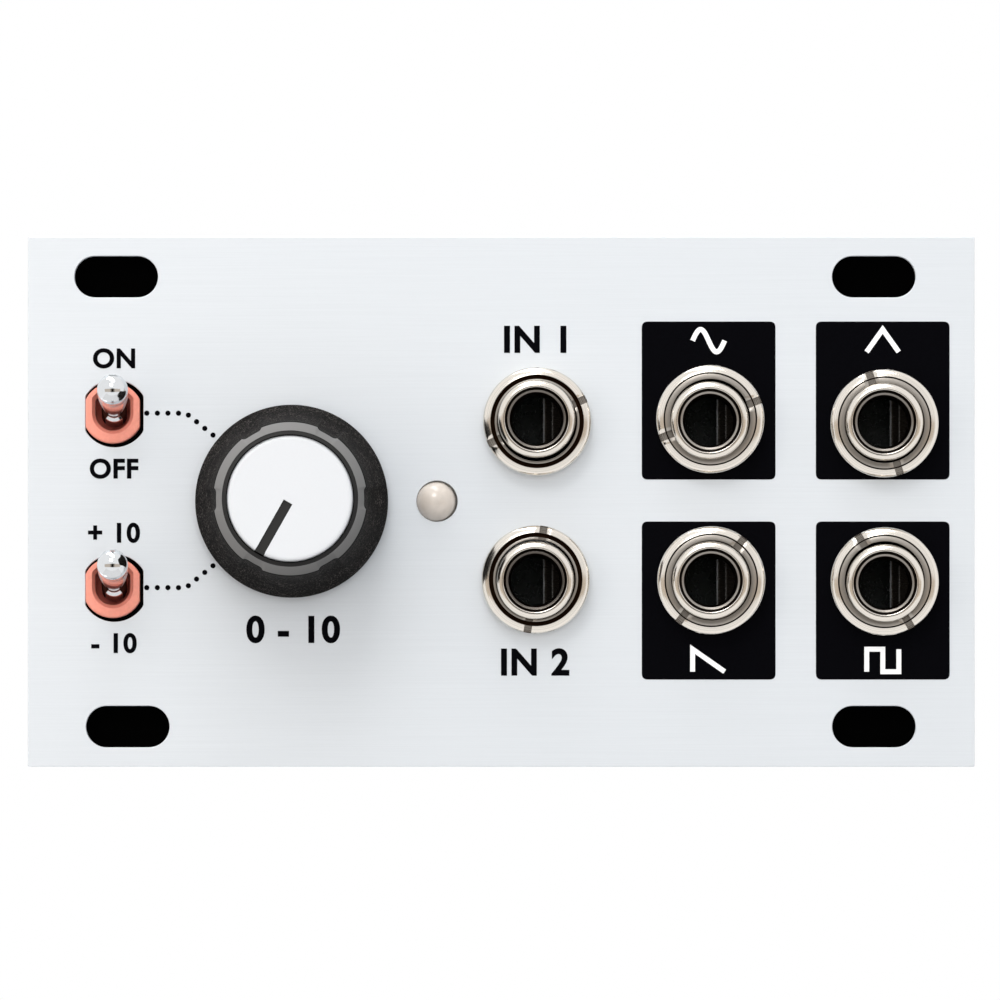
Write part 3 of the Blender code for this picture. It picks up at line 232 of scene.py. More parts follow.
def spaced(line):
    """A line without the points that lie where the one before them does."""
    steps = np.linalg.norm(np.diff(line, axis=0), axis=1)
    return line[np.concatenate(([True], steps > WELD))]


def turned(profile, place=(0, 0), steps=96, relief=None):
    """A profile of (radius, depth) carried round an axis along Y: x = r cos a, y = depth and
    z = r sin a. A relief changes the radius over the whole grid at once."""
    profile = np.asarray(profile, float)
    angle = np.linspace(0, TURN, steps + 1)[:, None] + np.zeros(len(profile))
    radius, depth = (column + np.zeros_like(angle) for column in profile.T)
    if relief:
        radius = relief(radius, depth, angle)
    return woven(place[0] + radius * np.cos(angle), depth, place[1] + radius * np.sin(angle))


def spread(shape, marks):
    """Marks of a profile's rows, for every point of the shape that it was turned to."""
    return np.tile(marks, len(shape.points) // len(marks))


def slotted(profile, place, turn, half_width, chamfer, floor):
    """A turned ring with two driver slots across it, and how far each point is sunk in a slot.
    A row of the grid stands at a share of the slot's half angle asin(half width / r), a share
    of the chamfer's asin((half width + chamfer) / r) and a share of a half turn, so the slot's
    walls and chamfers run straight. Between the walls the depth stops at the slot's floor."""
    bottom, land = np.linspace(-1, 1, 5), np.linspace(0, 1, 80)
    wall_share = np.concatenate((bottom, (1,), 0 * land, (-1,)))
    chamfer_share = np.concatenate((0 * bottom, (0,), 1 - 2 * land, (0,)))
    edge = np.concatenate((0 * bottom, (1,), 0 * land, (1,)))
    half_turns = np.concatenate((0 * bottom, (0,), land, (1,)))
    half_turns = np.concatenate((half_turns, half_turns + 1))[:, None]
    cut = np.arange(len(edge)) < len(bottom)
    wall_share, chamfer_share, edge, cut = (
        np.tile(each, 2)[:, None] for each in (wall_share, chamfer_share, edge, cut)
    )
    radius, depth = profile.T
    wall = np.arcsin(np.minimum(half_width / radius, 1))
    slope = np.arcsin(np.minimum((half_width + chamfer) / radius, 1))
    angle = turn + wall_share * wall + chamfer_share * slope + half_turns * math.pi
    worn = np.where(depth < floor, np.minimum(depth + edge * chamfer / 2, floor), depth)
    deep = np.where(cut, np.maximum(depth, floor), worn)
    sunk = (deep > depth + chamfer * 1.01) * 1.0
    grids = (place[0] + radius * np.cos(angle), deep, place[1] + radius * np.sin(angle), sunk)
    x, y, z, sunk = (np.vstack((grid, grid[:1])) for grid in grids)
    return woven(x, y, z), sunk


def prism(outline, profile, place=(0, 0), capped=True, inward=None):
    """A closed outline of (x, z) with a profile of (inset, depth) carried round it. A point moves
    in along the sum of its two sides' normals m and n over (1 + m.n), so that each side moves by
    the inset; or, where inward is given, along that many times its own place."""
    profile = np.asarray(profile, float)
    loop = outline[:-1]
    ahead = np.roll(loop, -1, 0) - loop
    ahead /= np.linalg.norm(ahead, axis=1)[:, None]
    after = np.column_stack((ahead[:, 1], -ahead[:, 0]))
    before = np.roll(after, 1, 0)
    outward = (before + after) / (1 + np.sum(before * after, axis=1))[:, None]
    if inward is not None:
        outward = loop * inward
    outward = np.vstack((outward, outward[:1]))
    flat = outline[:, None] - outward[:, None] * profile[None, :, :1] + place
    depth = profile[None, :, 1] + np.zeros(flat.shape[:2])
    shape = woven(flat[..., 0], depth, flat[..., 1])
    if capped:
        corner = np.arange(depth.size).reshape(depth.shape)[:-1]
        shape.caps = [corner[:, 0], corner[:, -1]]
    return shape


def ribbon(path, width, low, high, upright=False):
    """A strip along a path, with mitred bends: its sides lie half a width off the path, along
    the mean normal of the two runs that meet, over the cosine of half their angle. It lies in
    the panel's plane from depth low to high, or where upright in the x and y plane along z."""
    path = np.asarray(path, float)
    runs = np.diff(path, axis=0)
    runs /= np.linalg.norm(runs, axis=1)[:, None]
    coming, going = np.vstack((runs[:1], runs)), np.vstack((runs, runs[-1:]))
    along = coming + going
    along /= np.linalg.norm(along, axis=1)[:, None]
    reach = width / 2 / np.sum(along * going, axis=1)
    aside = np.column_stack((-along[:, 1], along[:, 0])) * reach[:, None]
    left, right = path + aside, path - aside
    sides = np.stack((left, right, right, left, left), axis=1)
    level = np.array((low, low, high, high, low)) + np.zeros(sides.shape[:2])
    x, across = sides[..., 0], sides[..., 1]
    shape = woven(x, across, level) if upright else woven(x, level, across)
    shape.caps = [np.arange(4), np.arange(4) + 5 * (len(path) - 1)]
    return shape


def rounded(width, height, radius, steps=5):
    """A rectangle with eased corners, as a closed outline that runs anticlockwise."""
    signs = np.array(((1, -1), (1, 1), (-1, 1), (-1, -1)))
    return eased(signs * (width / 2, height / 2), radius, steps, closed=True)


def arc(radius, start, end, steps):
    """Points of a circle, as (x, z), from one angle to another."""
    turn = np.linspace(start, end, steps)
    return radius * np.column_stack((np.cos(turn), np.sin(turn)))


def swung(points, turn):
    """Points of a plane, turned about its origin."""
    cosine, sine = math.cos(turn), math.sin(turn)
    return points @ np.array(((cosine, sine), (-sine, cosine)))


def capsule(long, tall):
    """Two half circles joined by straight runs along X, anticlockwise."""
    half = arc(tall / 2, -TURN / 4, TURN / 4, 25) + ((long - tall) / 2, 0)
    return np.vstack((half, -half, half[:1]))


def disc(diameter, steps=48):
    """A whole circle, as a closed outline."""
    return arc(diameter / 2, 0, TURN, steps + 1)


def flat_sided(diameter, width, steps=96):
    """A circle with two upright flats: the radius is the least of r and half the width / |cos a|."""
    level = np.abs(np.cos(np.linspace(0, TURN, steps + 1)))
    radius = np.minimum(diameter / 2, width / 2 / np.maximum(level, WELD))
    return radius[:, None] * disc(2, steps)


def sealed(mesh):
    """Merges the seams and poles of a mesh and turns its faces outwards."""
    work = bmesh.new()
    work.from_mesh(mesh)
    bmesh.ops.remove_doubles(work, verts=work.verts, dist=WELD * MM)
    bmesh.ops.dissolve_degenerate(work, edges=work.edges, dist=WELD * MM)
    bmesh.ops.recalc_face_normals(work, faces=work.faces)
    work.to_mesh(mesh)
    work.free()
    return mesh


def shaped(name, shapes, **marks):
    """The mesh of several shapes, with their surface places as its UV map, in metres, and with
    a value for each point under each mark's name."""
    shape = joined(shapes)
    mesh = bpy.data.meshes.new(name)
    faces = shape.quads.tolist() + [cap.tolist() for cap in shape.caps]
    mesh.from_pydata((shape.points * MM).tolist(), [], faces)
    corner = np.empty(len(mesh.loops), np.int32)
    mesh.loops.foreach_get("vertex_index", corner)
    mesh.uv_layers.new(name="surface").data.foreach_set("uv", shape.surface[corner].ravel() * MM)
    for label, values in marks.items():
        mark = mesh.attributes.new(label, "FLOAT", "POINT")
        mark.data.foreach_set("value", values.astype(np.float32).ravel())
    return sealed(mesh)


def point_places(mesh):
    """Places of a mesh's points, in metres."""
    places = np.empty(len(mesh.vertices) * 3, np.float32)
    mesh.vertices.foreach_get("co", places)
    return places.reshape(-1, 3)


def stood_up(curve, near, far, scale=1, place=None):
    """The mesh of a flat curve, stood up in the panel's plane: its y becomes z, and its
    thickness runs from far to near. A place moves the middle of its box there."""
    holder = bpy.data.objects.new(curve.name, curve)
    bpy.context.collection.objects.link(holder)
    graph = bpy.context.evaluated_depsgraph_get()
    mesh = bpy.data.meshes.new_from_object(holder.evaluated_get(graph))
    bpy.data.objects.remove(holder)
    bpy.data.curves.remove(curve)
    points = point_places(mesh)
    low, high = points.min(0), points.max(0)
    flat = points[:, :2] * scale
    if place is not None:
        flat += np.array(place) * MM - (low + high)[:2] / 2 * scale
    depth = MM * (far + (points[:, 2] - low[2]) / (high[2] - low[2]) * (near - far))
    mesh.vertices.foreach_set("co", np.column_stack((flat[:, 0], depth, flat[:, 1])).ravel())
    return sealed(mesh)


def piece(name, look, shapes, body="chassis", node=None, bevel=0, crease=30, **marks):
    """Makes an object of a mesh or of shapes, gives it the finish of its look, which is a finish
    and a slot; the slot is not used. It hands the object to the frame. Where a node is named, the
    piece stands for it."""
    mesh = shapes
    if not isinstance(mesh, bpy.types.Mesh):
        mesh = shaped(name, [shapes] if isinstance(shapes, Shape) else shapes, **marks)
    finish, slot = look
    mesh.materials.clear()
    mesh.materials.append(material(finish))
    mesh.shade_smooth()
    mesh.set_sharp_from_angle(angle=math.radians(crease))
    made = bpy.data.objects.new(name, mesh)
    bpy.context.collection.objects.link(made)
    soften(made, bevel)
    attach(made, body)
    if node:
        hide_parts(node)


def soften(made, bevel):
    """Eased edges where asked, and flat faces that shade as flat."""
    if bevel:
        edge = made.modifiers.new("eased edges", "BEVEL")
        edge.width = bevel * MM
        edge.segments = 2
        edge.limit_method = "ANGLE"
        edge.angle_limit = math.radians(40)
    even = made.modifiers.new("even shading", "WEIGHTED_NORMAL")
    even.keep_sharp = True


def dress(node, look, bevel=0):
    """Keeps a node of the frame and gives it the finish of a look, whose slot is not used; welded
    first where its edges are eased.
    """
    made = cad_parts[node]
    for place in made.material_slots:
        place.link = "OBJECT"
        place.material = material(look[0])
    if bevel:
        weld = made.modifiers.new("weld", "WELD")
        weld.merge_threshold = WELD * MM
        soften(made, bevel)


# Materials


def add(tree, kind, settings=(), links=()):
    """Adds a node, sets its properties and inputs, and links its inputs."""
    node = tree.nodes.new("ShaderNode" + kind)
    for key, value in dict(settings).items():
        if isinstance(key, str) and hasattr(node, key):
            setattr(node, key, value)
        else:
            node.inputs[key].default_value = value
    for key, source in dict(links).items():
        tree.links.new(source, node.inputs[key])
    return node


def started(name):
    """A new material, its nodes and its shader."""
    made = bpy.data.materials.new(name)
    made.use_nodes = True
    return made, made.node_tree, made.node_tree.nodes["Principled BSDF"]


def tinted(tint):
    """A linear colour: of a hex value, or of one of the module's colours at a share of its
    brightness."""
    if isinstance(tint, str):
        return linear(tint)
    name, share = tint
    return (*(np.array(getattr(bpy.context.scene.module_colours, name)[:3]) * share), 1)


def grained(name, tint, other, grain, rough, relief=0, settings=(), source="Object"):
    """A surface whose colour, roughness and relief follow one noise. The grain is its size in
    mm, or that along each axis, rough its two roughnesses, and relief its bumps' height in mm."""
    made, tree, shader = started(name)
    for key, value in dict(settings).items():
        shader.inputs[key].default_value = value
    place = add(tree, "TexCoord").outputs[source]
    scale = list(1 / (MM * np.ones(3) * grain))
    sized = add(tree, "Mapping", {"Scale": scale}, {"Vector": place})
    noise = add(tree, "TexNoise", {"Scale": 1, "Detail": 3}, {"Vector": sized.outputs[0]})
    share = add(tree, "MapRange", {1: 0.3, 2: 0.7}, {0: noise.outputs[0]}).outputs[0]
    both = {"data_type": "RGBA", 6: tinted(tint), 7: tinted(other)}
    tints = add(tree, "Mix", both, {0: share})
    uneven = add(tree, "MapRange", {3: rough[0], 4: rough[1]}, {0: share})
    bumps = {"Strength": 1, "Distance": relief * MM}
    bump = add(tree, "Bump", bumps, {"Height": noise.outputs[0]})
    tree.links.new(tints.outputs[2], shader.inputs["Base Color"])
    tree.links.new(uneven.outputs[0], shader.inputs["Roughness"])
    tree.links.new(bump.outputs[0], shader.inputs["Normal"])
    return made


def darken(made, mark, deep):
    """Turns the colour towards another one by the value of the mark that the mesh carries."""
    tree = made.node_tree
    base = tree.nodes["Principled BSDF"].inputs["Base Color"]
    plain = base.links[0].from_socket
    marked = add(tree, "Attribute", {"attribute_name": mark}).outputs["Fac"]
    both = add(tree, "Mix", {"data_type": "RGBA", 7: linear(deep)}, {0: marked, 6: plain})
    tree.links.new(both.outputs[2], base)


def dull(made, mark, rise):
    """Adds to the roughness the rise times the value of the mark that the mesh carries."""
    tree = made.node_tree
    rough = tree.nodes["Principled BSDF"].inputs["Roughness"]
    plain = rough.links[0].from_socket
    marked = add(tree, "Attribute", {"attribute_name": mark}).outputs["Fac"]
    both = add(tree, "Math", {"operation": "MULTIPLY_ADD", 1: rise}, {0: marked, 2: plain})
    tree.links.new(both.outputs[0], rough)


METAL = {"Metallic": 1}
DULL = {"Specular IOR Level": 0.02}
CLEAR = {"Transmission Weight": 0.12, "IOR": 1.53, "Coat Weight": 0.5}

# Finishes that need no more than one noise, with what each gives the eye: two tints, grain,
# two roughnesses, relief and settings
PLAIN_FINISHES = {
    # Pressed steel, zinc plated: grey, rather dull, with cloudy patches.
    "zinc_plated_steel": ("#C3C6C8", "#9FA3A6", 0.6, (0.28, 0.42), 0.002, METAL),
    # Tin-lead plate and solder: soft silver with a slight ripple.
    "bright_tin": ("#D6D8DA", "#B2B5B8", 0.35, (0.18, 0.34), 0.004, METAL),
    # Thin gold over nickel on drawn pins: deep yellow, streaked along the draw.
    "gold_flash": ("#E2BE72", "#C79E50", (0.1, 1.5, 0.1), (0.18, 0.3), 0.001, METAL),
    # ABS moulded against a fine matt tool: clean white with a satin bloom.
    "moulded_white_resin": (("cap", 1), ("cap", 0.985), 0.09, (0.36, 0.44), 0.001),
    # Glass-filled black polyester: spark-eroded tool marks and a low grey sheen.
    "moulded_black_resin": (("black", 1), ("black", 1.5), 0.12, (0.48, 0.62), 0.006),
    # Nitrile rubber, moulded: takes up nearly all light.
    "black_rubber": ("#040404", "#080808", 0.2, (0.8, 0.95), 0.004, {"Specular IOR Level": 0.1}),
    # Blue polyester case, as moulded: satin, with a slight cloud.
    "moulded_blue_resin": (("trimmer", 1), ("trimmer", 0.85), 0.2, (0.36, 0.46), 0.004),
    # Epoxy ink screened onto metal: dense black, matt, with the mesh's faint grain.
    "screen_printed_black": (("ink", 1), ("ink", 1.8), 0.1, (0.5, 0.62), 0.002, DULL),
    # Epoxy ink screened over the black: opaque white.
    "screen_printed_white": (("white_ink", 1), ("white_ink", 0.96), 0.1, (0.45, 0.55), 0.002),
    # Water-clear epoxy with a warm cast from the chip behind it: glossy, half lets light in.
    "cast_epoxy": (("lamp", 1), ("lamp", 0.86), 0.7, (0.1, 0.18), 0, CLEAR),
    # Filled epoxy of a chip package: dark grey, dull and very fine.
    "moulded_epoxy": ("#1D1E20", "#2A2B2E", 0.06, (0.55, 0.7), 0.004),
    # Sintered capacitor body: tan, waxy.
    "fired_ceramic": ("#B59A74", "#A48862", 0.15, (0.3, 0.42), 0.002),
    # Can drawn from aluminium sheet: bright, with upright draw lines.
    "drawn_aluminium": ("#D5D8DB", "#BCC0C4", (0.05, 3, 0.05), (0.2, 0.32), 0.001, METAL),
    # Copper tracks under the mask: the same dark skin, raised and a little lighter.
    "masked_copper": (("board", 2.2), ("board", 1.8), 0.3, (0.24, 0.34)),
}


def brushed_anodised_aluminium(name):
    """Aluminium, brushed along its length and clear anodised: pale satin with fine level lines."""
    grain = (9, 9, size("brush"))
    tints = (("panel", 1), ("panel", 0.975))
    return grained(name, *tints, grain, (0.44, 0.52), 0.0004, {"Metallic": 0.4})


def turned_nickel_plate(name):
    """Brass turned on a lathe and nickel plated: warm mirror bands with rings from the tool.
    The rings follow the surface place across the profile. The attribute recess marks
    hollows that are painted with shade: grooves, bores, ledges and slot floors turn dark brown there."""
    grain = (30, 0.07, 1000)
    tints = (("nickel", 1), ("nickel", 0.8))
    made = grained(name, *tints, grain, (0.1, 0.24), 0.001, METAL, "UV")
    # Painted shade: marked hollows turn dark brown and rougher.
    darken(made, "recess", "#22150C")
    dull(made, "recess", 0.3)
    return made


def polished_chrome_plate(name):
    """Brass polished and chrome plated: a cold, near perfect mirror with faint handling haze.
    The attribute grease marks painted shade, brown towards the pivot, where the lever stands in the
    barrel's mouth."""
    made = grained(name, ("chrome", 1), ("chrome", 0.95), 0.8, (0.04, 0.1), 0, METAL)
    # Painted shade: the marked part of the lever, in the barrel's mouth, darkens towards brown.
    darken(made, "grease", "#3A211B")
    dull(made, "grease", 0.5)
    return made


def tinned_phosphor_bronze(name):
    """Rolled spring strip in dark tints, which paint the shade deep in the bore. The attribute
    rubbed marks the bend, which plugs rub, with a painted highlight: pale and not metallic."""
    metallic, grain = 0.8, (0.9, 0.9, 0.06)
    # Dark tints: painted shade of the deep bore.
    tints = ("#4A443D", "#37322C")
    made = grained(name, *tints, grain, (0.22, 0.36), 0.001, {"Metallic": metallic})
    # Painted highlight: the marked bend turns pale grey and loses its metal.
    darken(made, "rubbed", "#A2A2A2")
    tree = made.node_tree
    mark = add(tree, "Attribute", {"attribute_name": "rubbed"}).outputs["Fac"]
    plate = add(tree, "MapRange", {3: metallic, 4: 0}, {0: mark})
    tree.links.new(plate.outputs[0], tree.nodes["Principled BSDF"].inputs["Metallic"])
    return made


def moulded_salmon_resin(name):
    """Polyester moulding in salmon pink: satin, a little light goes into it at its edges. The
    attribute inside marks the walls of its mouth, painted with shade that deepens it to maroon."""
    settings = {"Subsurface Weight": 0.08, "Subsurface Scale": 0.3 * MM, "Coat Weight": 0.3}
    tints = (("salmon", 1), ("salmon", 0.92))
    made = grained(name, *tints, 0.25, (0.34, 0.46), 0.003, settings)
    # Painted shade: the marked walls of the mouth deepen towards maroon.
    darken(made, "inside", "#C4685A")
    return made


def soft_touch_lacquer(name):
    """Polyurethane soft-touch lacquer on a moulded knob: charcoal, no shine, and a fine grain of
    paler specks. The specks are drawn about twice their real size, so that they show. The
    shoulder's edge, marked by the attribute rubbed, is smoother and painted
    pale grey as a highlight; the lip and the pointer, marked a little, are painted a little lighter.
    The top, marked smooth, has no grain."""
    made, tree, shader = started(name)
    shader.inputs["Specular IOR Level"].default_value = 0.05
    place = add(tree, "TexCoord").outputs["Object"]
    across = 1 / (size("speck") * MM)
    grain = {"Scale": across, "Detail": 2, "Roughness": 0.7}
    noise = add(tree, "TexNoise", grain, {"Vector": place})
    patch = add(tree, "TexNoise", {"Scale": across / 9, "Detail": 1}, {"Vector": place})
    specks = add(tree, "MapRange", {1: 0.53, 2: 0.66}, {0: noise.outputs[0]})
    some = add(tree, "MapRange", {1: 0.35, 2: 0.7, 3: 0.3}, {0: patch.outputs[0]})
    smooth = add(tree, "Attribute", {"attribute_name": "smooth"}).outputs["Fac"]
    coarse = add(tree, "Math", {"operation": "SUBTRACT", 0: 1}, {1: smooth}).outputs[0]
    times = {"operation": "MULTIPLY"}
    some = add(tree, "Math", times, {0: some.outputs[0], 1: coarse})
    share = add(tree, "Math", times, {0: specks.outputs[0], 1: some.outputs[0]})
    pale = {"data_type": "RGBA", 6: tinted(("knob", 1)), 7: linear("#625D5A")}
    tint = add(tree, "Mix", pale, {0: share.outputs[0]})
    rubbed = add(tree, "Attribute", {"attribute_name": "rubbed"}).outputs["Fac"]
    worn = add(tree, "MapRange", {3: 0.8, 4: 0.5}, {0: rubbed})
    # Painted highlight: marked edges turn pale grey.
    rub = {"data_type": "RGBA", 7: linear("#757575")}
    tint = add(tree, "Mix", rub, {0: rubbed, 6: tint.outputs[2]})
    relief = {"Strength": 0.8, "Distance": 0.012 * MM}
    bump = add(tree, "Bump", relief, {"Height": noise.outputs[0]})
    tree.links.new(tint.outputs[2], shader.inputs["Base Color"])
    tree.links.new(worn.outputs[0], shader.inputs["Roughness"])
    tree.links.new(bump.outputs[0], shader.inputs["Normal"])
    return made


def masked_laminate(name):
    """Glass-epoxy laminate under a dark solder mask: satin faces, and a sawn yellow-green edge
    with its glass plies, 0.11 mm each, which shows between the two skins of mask."""
    skin, plies = 0.04, (2000, 9000, 2000)
    made = grained(name, ("board", 1), ("board", 1.25), 0.6, (0.22, 0.34))
    tree = made.node_tree
    base = tree.nodes["Principled BSDF"].inputs["Base Color"]
    masked = base.links[0].from_socket
    place = add(tree, "TexCoord").outputs["Object"]
    depth = add(tree, "SeparateXYZ", (), {0: place}).outputs[1]
    nearness = []
    for face in [corner[1] for board in BOARDS for corner in corners(board)]:
        away = add(tree, "Math", {"operation": "SUBTRACT", 1: face * MM}, {0: depth})
        away = add(tree, "Math", {"operation": "ABSOLUTE"}, {0: away.outputs[0]})
        near = add(tree, "Math", {"operation": "LESS_THAN", 1: skin * MM}, {0: away.outputs[0]})
        nearness.append(near.outputs[0])
    total = nearness[0]
    for near in nearness[1:]:
        total = add(tree, "Math", {"operation": "MAXIMUM"}, {0: total, 1: near}).outputs[0]
    sized = add(tree, "Mapping", {"Scale": plies}, {"Vector": place})
    weave = add(tree, "TexNoise", {"Scale": 1, "Detail": 2}, {"Vector": sized.outputs[0]})
    sawn = {"data_type": "RGBA", 6: linear("#8E8557"), 7: linear("#B7AE7B")}
    edge = add(tree, "Mix", sawn, {0: weave.outputs[0]})
    both = add(tree, "Mix", {"data_type": "RGBA"}, {0: total, 6: edge.outputs[2], 7: masked})
    tree.links.new(both.outputs[2], base)
    return made


FINISHES = (
    brushed_anodised_aluminium,
    turned_nickel_plate,
    polished_chrome_plate,
    tinned_phosphor_bronze,
    moulded_salmon_resin,
    soft_touch_lacquer,
    masked_laminate,
)


def material(name):
    """The material of that name, made the first time it is asked for."""
    makers = {maker.__name__: maker for maker in FINISHES}
    made = bpy.data.materials.get(name)
    if made is None and name in makers:
        made = makers[name](name)
    return made or grained(name, *PLAIN_FINISHES[name])


# Looks that several pieces have, as a finish and a slot
NICKEL = ("turned_nickel_plate", "nickel_plate")
TIN = ("bright_tin", "tinned_lead")
BLACK = ("moulded_black_resin", "moulded_black")
LACQUER = ("soft_touch_lacquer", "soft_touch_black")
INK = ("screen_printed_black", "panel_aluminium")
WHITE_INK = ("screen_printed_white", "panel_aluminium")


# Panel and print

SLOT_INSET = np.array((7.5, 3))
SLOT_SHIFT = -0.03
UPPER_LEFT_SHIFT = -0.87
JACK_HOLE = 6.1
KNOB_HOLE = 7.1
LAMP_HOLE = 3.06
LAMP_HOLE_SHIFT = (0.08, 0.03)
SWITCH_HOLE = (5.05, 4.33)
SWITCH_HOLE_SHIFT = (0.03, -0.03)


def slot_places():
    """Centres of the four screw slots."""
    low, high = PANEL_LOW[[0, 2]] + SLOT_INSET, PANEL_HIGH[[0, 2]] - SLOT_INSET
    upper_left = (low[0] + UPPER_LEFT_SHIFT, high[1])
    return np.array((low, (high[0], low[1]), upper_left, high)) + (SLOT_SHIFT, 0)


def screw_slot():
    """Outline of a screw slot, about its middle."""
    return capsule(size("slot_long"), size("slot_tall"))


def panel_loops():
    """The panel's outline and the outline of each hole."""
    width, _, height = PANEL_HIGH - PANEL_LOW
    loops = [rounded(width, height, 2 * size("ease")) + PANEL_SPOT]
    loops += [screw_slot() + place for place in slot_places()]
    loops += [disc(JACK_HOLE) + place for place in JACKS.values()]
    switch_hole = flat_sided(*SWITCH_HOLE) + SWITCH_HOLE_SHIFT
    loops += [switch_hole + place for place in SWITCHES.values()]
    return [*loops, disc(KNOB_HOLE) + KNOB, disc(LAMP_HOLE) + LAMP + LAMP_HOLE_SHIFT]


def cut_plate(name, loops, near, far, ease=0):
    """A flat plate whose outline and holes are closed loops, with eased edges."""
    curve = bpy.data.curves.new(name, "CURVE")
    curve.dimensions = "2D"
    curve.fill_mode = "BOTH"
    curve.extrude = ((far - near) / 2 - ease) * MM
    curve.bevel_depth = ease * MM
    curve.bevel_resolution = 2
    curve.offset = -ease * MM
    for loop in loops:
        line = curve.splines.new("POLY")
        line.points.add(len(loop) - 2)
        flat = np.column_stack((loop[:-1] * MM, np.zeros(len(loop) - 1), np.ones(len(loop) - 1)))
        line.points.foreach_set("co", flat.ravel())
        line.use_cyclic_u = True
    return stood_up(curve, near, far)


class MODULE_OT_panel(bpy.types.Operator):
    """Cuts the brushed panel: outline and holes as closed loops, filled, with eased edges"""

    bl_idname = "module.panel"
    bl_label = "Panel"

    def execute(self, context):
        look = ("brushed_anodised_aluminium", "panel_aluminium")
        mesh = cut_plate("panel_plate", panel_loops(), FACE, BACK, size("ease"))
        piece("panel_plate", look, mesh, node="panel", crease=12)
        return {"FINISHED"}


LABEL_SHIFT = -0.15
LABEL_RISE = 7.48
LABEL_LIFT = 0.08
LABEL_CORNER = 0.45
WAVE_RISE = 4.48
WAVE_HALF = 1.2
WAVE_HEIGHT = 0.84
DOT_STEPS = 0.79 * np.arange(8)
DOT_START = 2.45
DOT_RUN = 2.93
DOT_FALL = math.radians(39)
LETTER_WEIGHT = 0.033
CAP_HEIGHT = 0.73

# Name, words, the place that they belong to, their shift from it and their size
WORDS = (
    ("words_on", "ON", SWITCHES["upper"], (0, 4.1), "small_letters"),
    ("words_off", "OFF", SWITCHES["upper"], (0, -4.15), "small_letters"),
    ("words_plus", "+ 10", SWITCHES["lower"], (0, 4.1), "small_letters"),
    ("words_minus", "- 10", SWITCHES["lower"], (0, -4.15), "small_letters"),
    ("words_dial", "0 - 10", KNOB, (0.1, -9.56), "large_letters"),
    ("words_in_1", "IN 1", JACKS[1], (-0.1, 6.1), "large_letters"),
    ("words_in_2", "IN 2", JACKS[4], (-0.1, -5.95), "large_letters"),
)


def wave_paths():
    """Centre lines of the four wave signs, about their own middle, for jacks 2, 3, 5 and 6."""
    turn = np.linspace(0, TURN, 33)
    sine = np.column_stack((turn / math.pi - 1, np.sin(turn)))
    triangle = np.array(((-1, -1), (0, 1), (1, -1)))
    saw = np.array(((-1, -1), (-1, 1), (1, -1)))
    square = np.array(((-1, -1), (-1, 1), (0, 1), (0, -1), (1, -1), (1, 1)))
    paths = {2: sine, 3: triangle, 5: saw, 6: square}
    return {number: path * (WAVE_HALF, WAVE_HEIGHT) for number, path in paths.items()}


def dot_places(place, fall):
    """Dots at equal steps along a level run and then a slope towards the knob."""
    slope = np.maximum(DOT_STEPS - DOT_RUN, 0)
    along = DOT_START + np.minimum(DOT_STEPS, DOT_RUN) + slope * math.cos(DOT_FALL)
    return place + np.column_stack((along, fall * slope * math.sin(DOT_FALL)))


def lettering(name, words, place, height, near, far):
    """Words in the built-in face, thickened a little, as tall as asked."""
    curve = bpy.data.curves.new(name, "FONT")
    curve.body = words
    curve.offset = LETTER_WEIGHT
    curve.extrude = 0.01
    curve.space_character = 1.08
    curve.resolution_u = 6
    piece(name, INK, stood_up(curve, near, far, height * MM / CAP_HEIGHT, place))


class MODULE_OT_print(bpy.types.Operator):
    """Prints labels, wave signs, dotted lines and plain numbers as thin layers of ink"""

    bl_idname = "module.print"
    bl_label = "Print"

    def execute(self, context):
        ink = size("ink")
        near, far = FACE - ink, FACE + ink / 4
        label = rounded(size("label_wide"), size("label_tall"), LABEL_CORNER)
        for number, path in wave_paths().items():
            jack = JACKS[number]
            up = 1 if jack[1] > PANEL_SPOT[1] else -1
            place = (jack[0] + LABEL_SHIFT, PANEL_SPOT[1] + LABEL_LIFT + up * LABEL_RISE)
            loops = [label + place, disc(JACK_HOLE) + jack]
            piece(f"label_{number}", INK, cut_plate(f"label_{number}", loops, near, far))
            sign = path + place + (0, up * WAVE_RISE)
            shape = ribbon(sign, size("stroke"), near - ink, near + ink / 4)
            piece(f"wave_{number}", WHITE_INK, shape)
        dot = prism(disc(size("dot"), 20), ((0, far), (0, near)))
        for name, fall in zip(SWITCHES, (-1, 1)):
            places = dot_places(SWITCHES[name], fall)
            piece(f"dotted_line_{name}", INK, copied(dot, places))
        for name, words, place, shift, letters in WORDS:
            lettering(name, words, place + shift, size(letters), near, far)
        return {"FINISHED"}


# Jacks

# Small play of the hand-fitted sleeves and nuts
SLEEVE_SHIFTS = ((0, 0.1), (-0.09, -0.02), (-0.06, -0.12), (-0.1, 0.12), (0, 0.12), (0, -0.09))
NUT_SHIFTS = ((0.04, -0.07), (-0.04, 0.11), (-0.04, -0.2), (-0.07, 0.2), (0.03, 0.13), (-0.03, 0.05))
THREAD_RADIUS = 2.95
THREAD_DEPTH = 0.16
THREAD_START = 0.35
SLEEVE_TIP = -4.7
SLEEVE_BORE = 1.825
FLANGE = 3.7
FLANGE_THICK = 0.8
CROWN_FALL = 0.42
NUT_RADIUS = 4.04
NUT_TOP = -4.0
NUT_SEAT = -2.02
NUT_BORE = 2.97
NUT_RIM = 0.54
NUT_FALL = 0.36
NUT_SLOT = 0.29
NUT_SLOT_EDGE = 0.22
NUT_SLOT_FLOOR = NUT_TOP + 0.5
GROOVE_DEPTH = 0.6
# Width of the groove between rim and land of each nut, which differs from batch to batch
NUT_GROOVES = (0.3, 0.08, 0.08, 0.3, 0.08, 0.08)
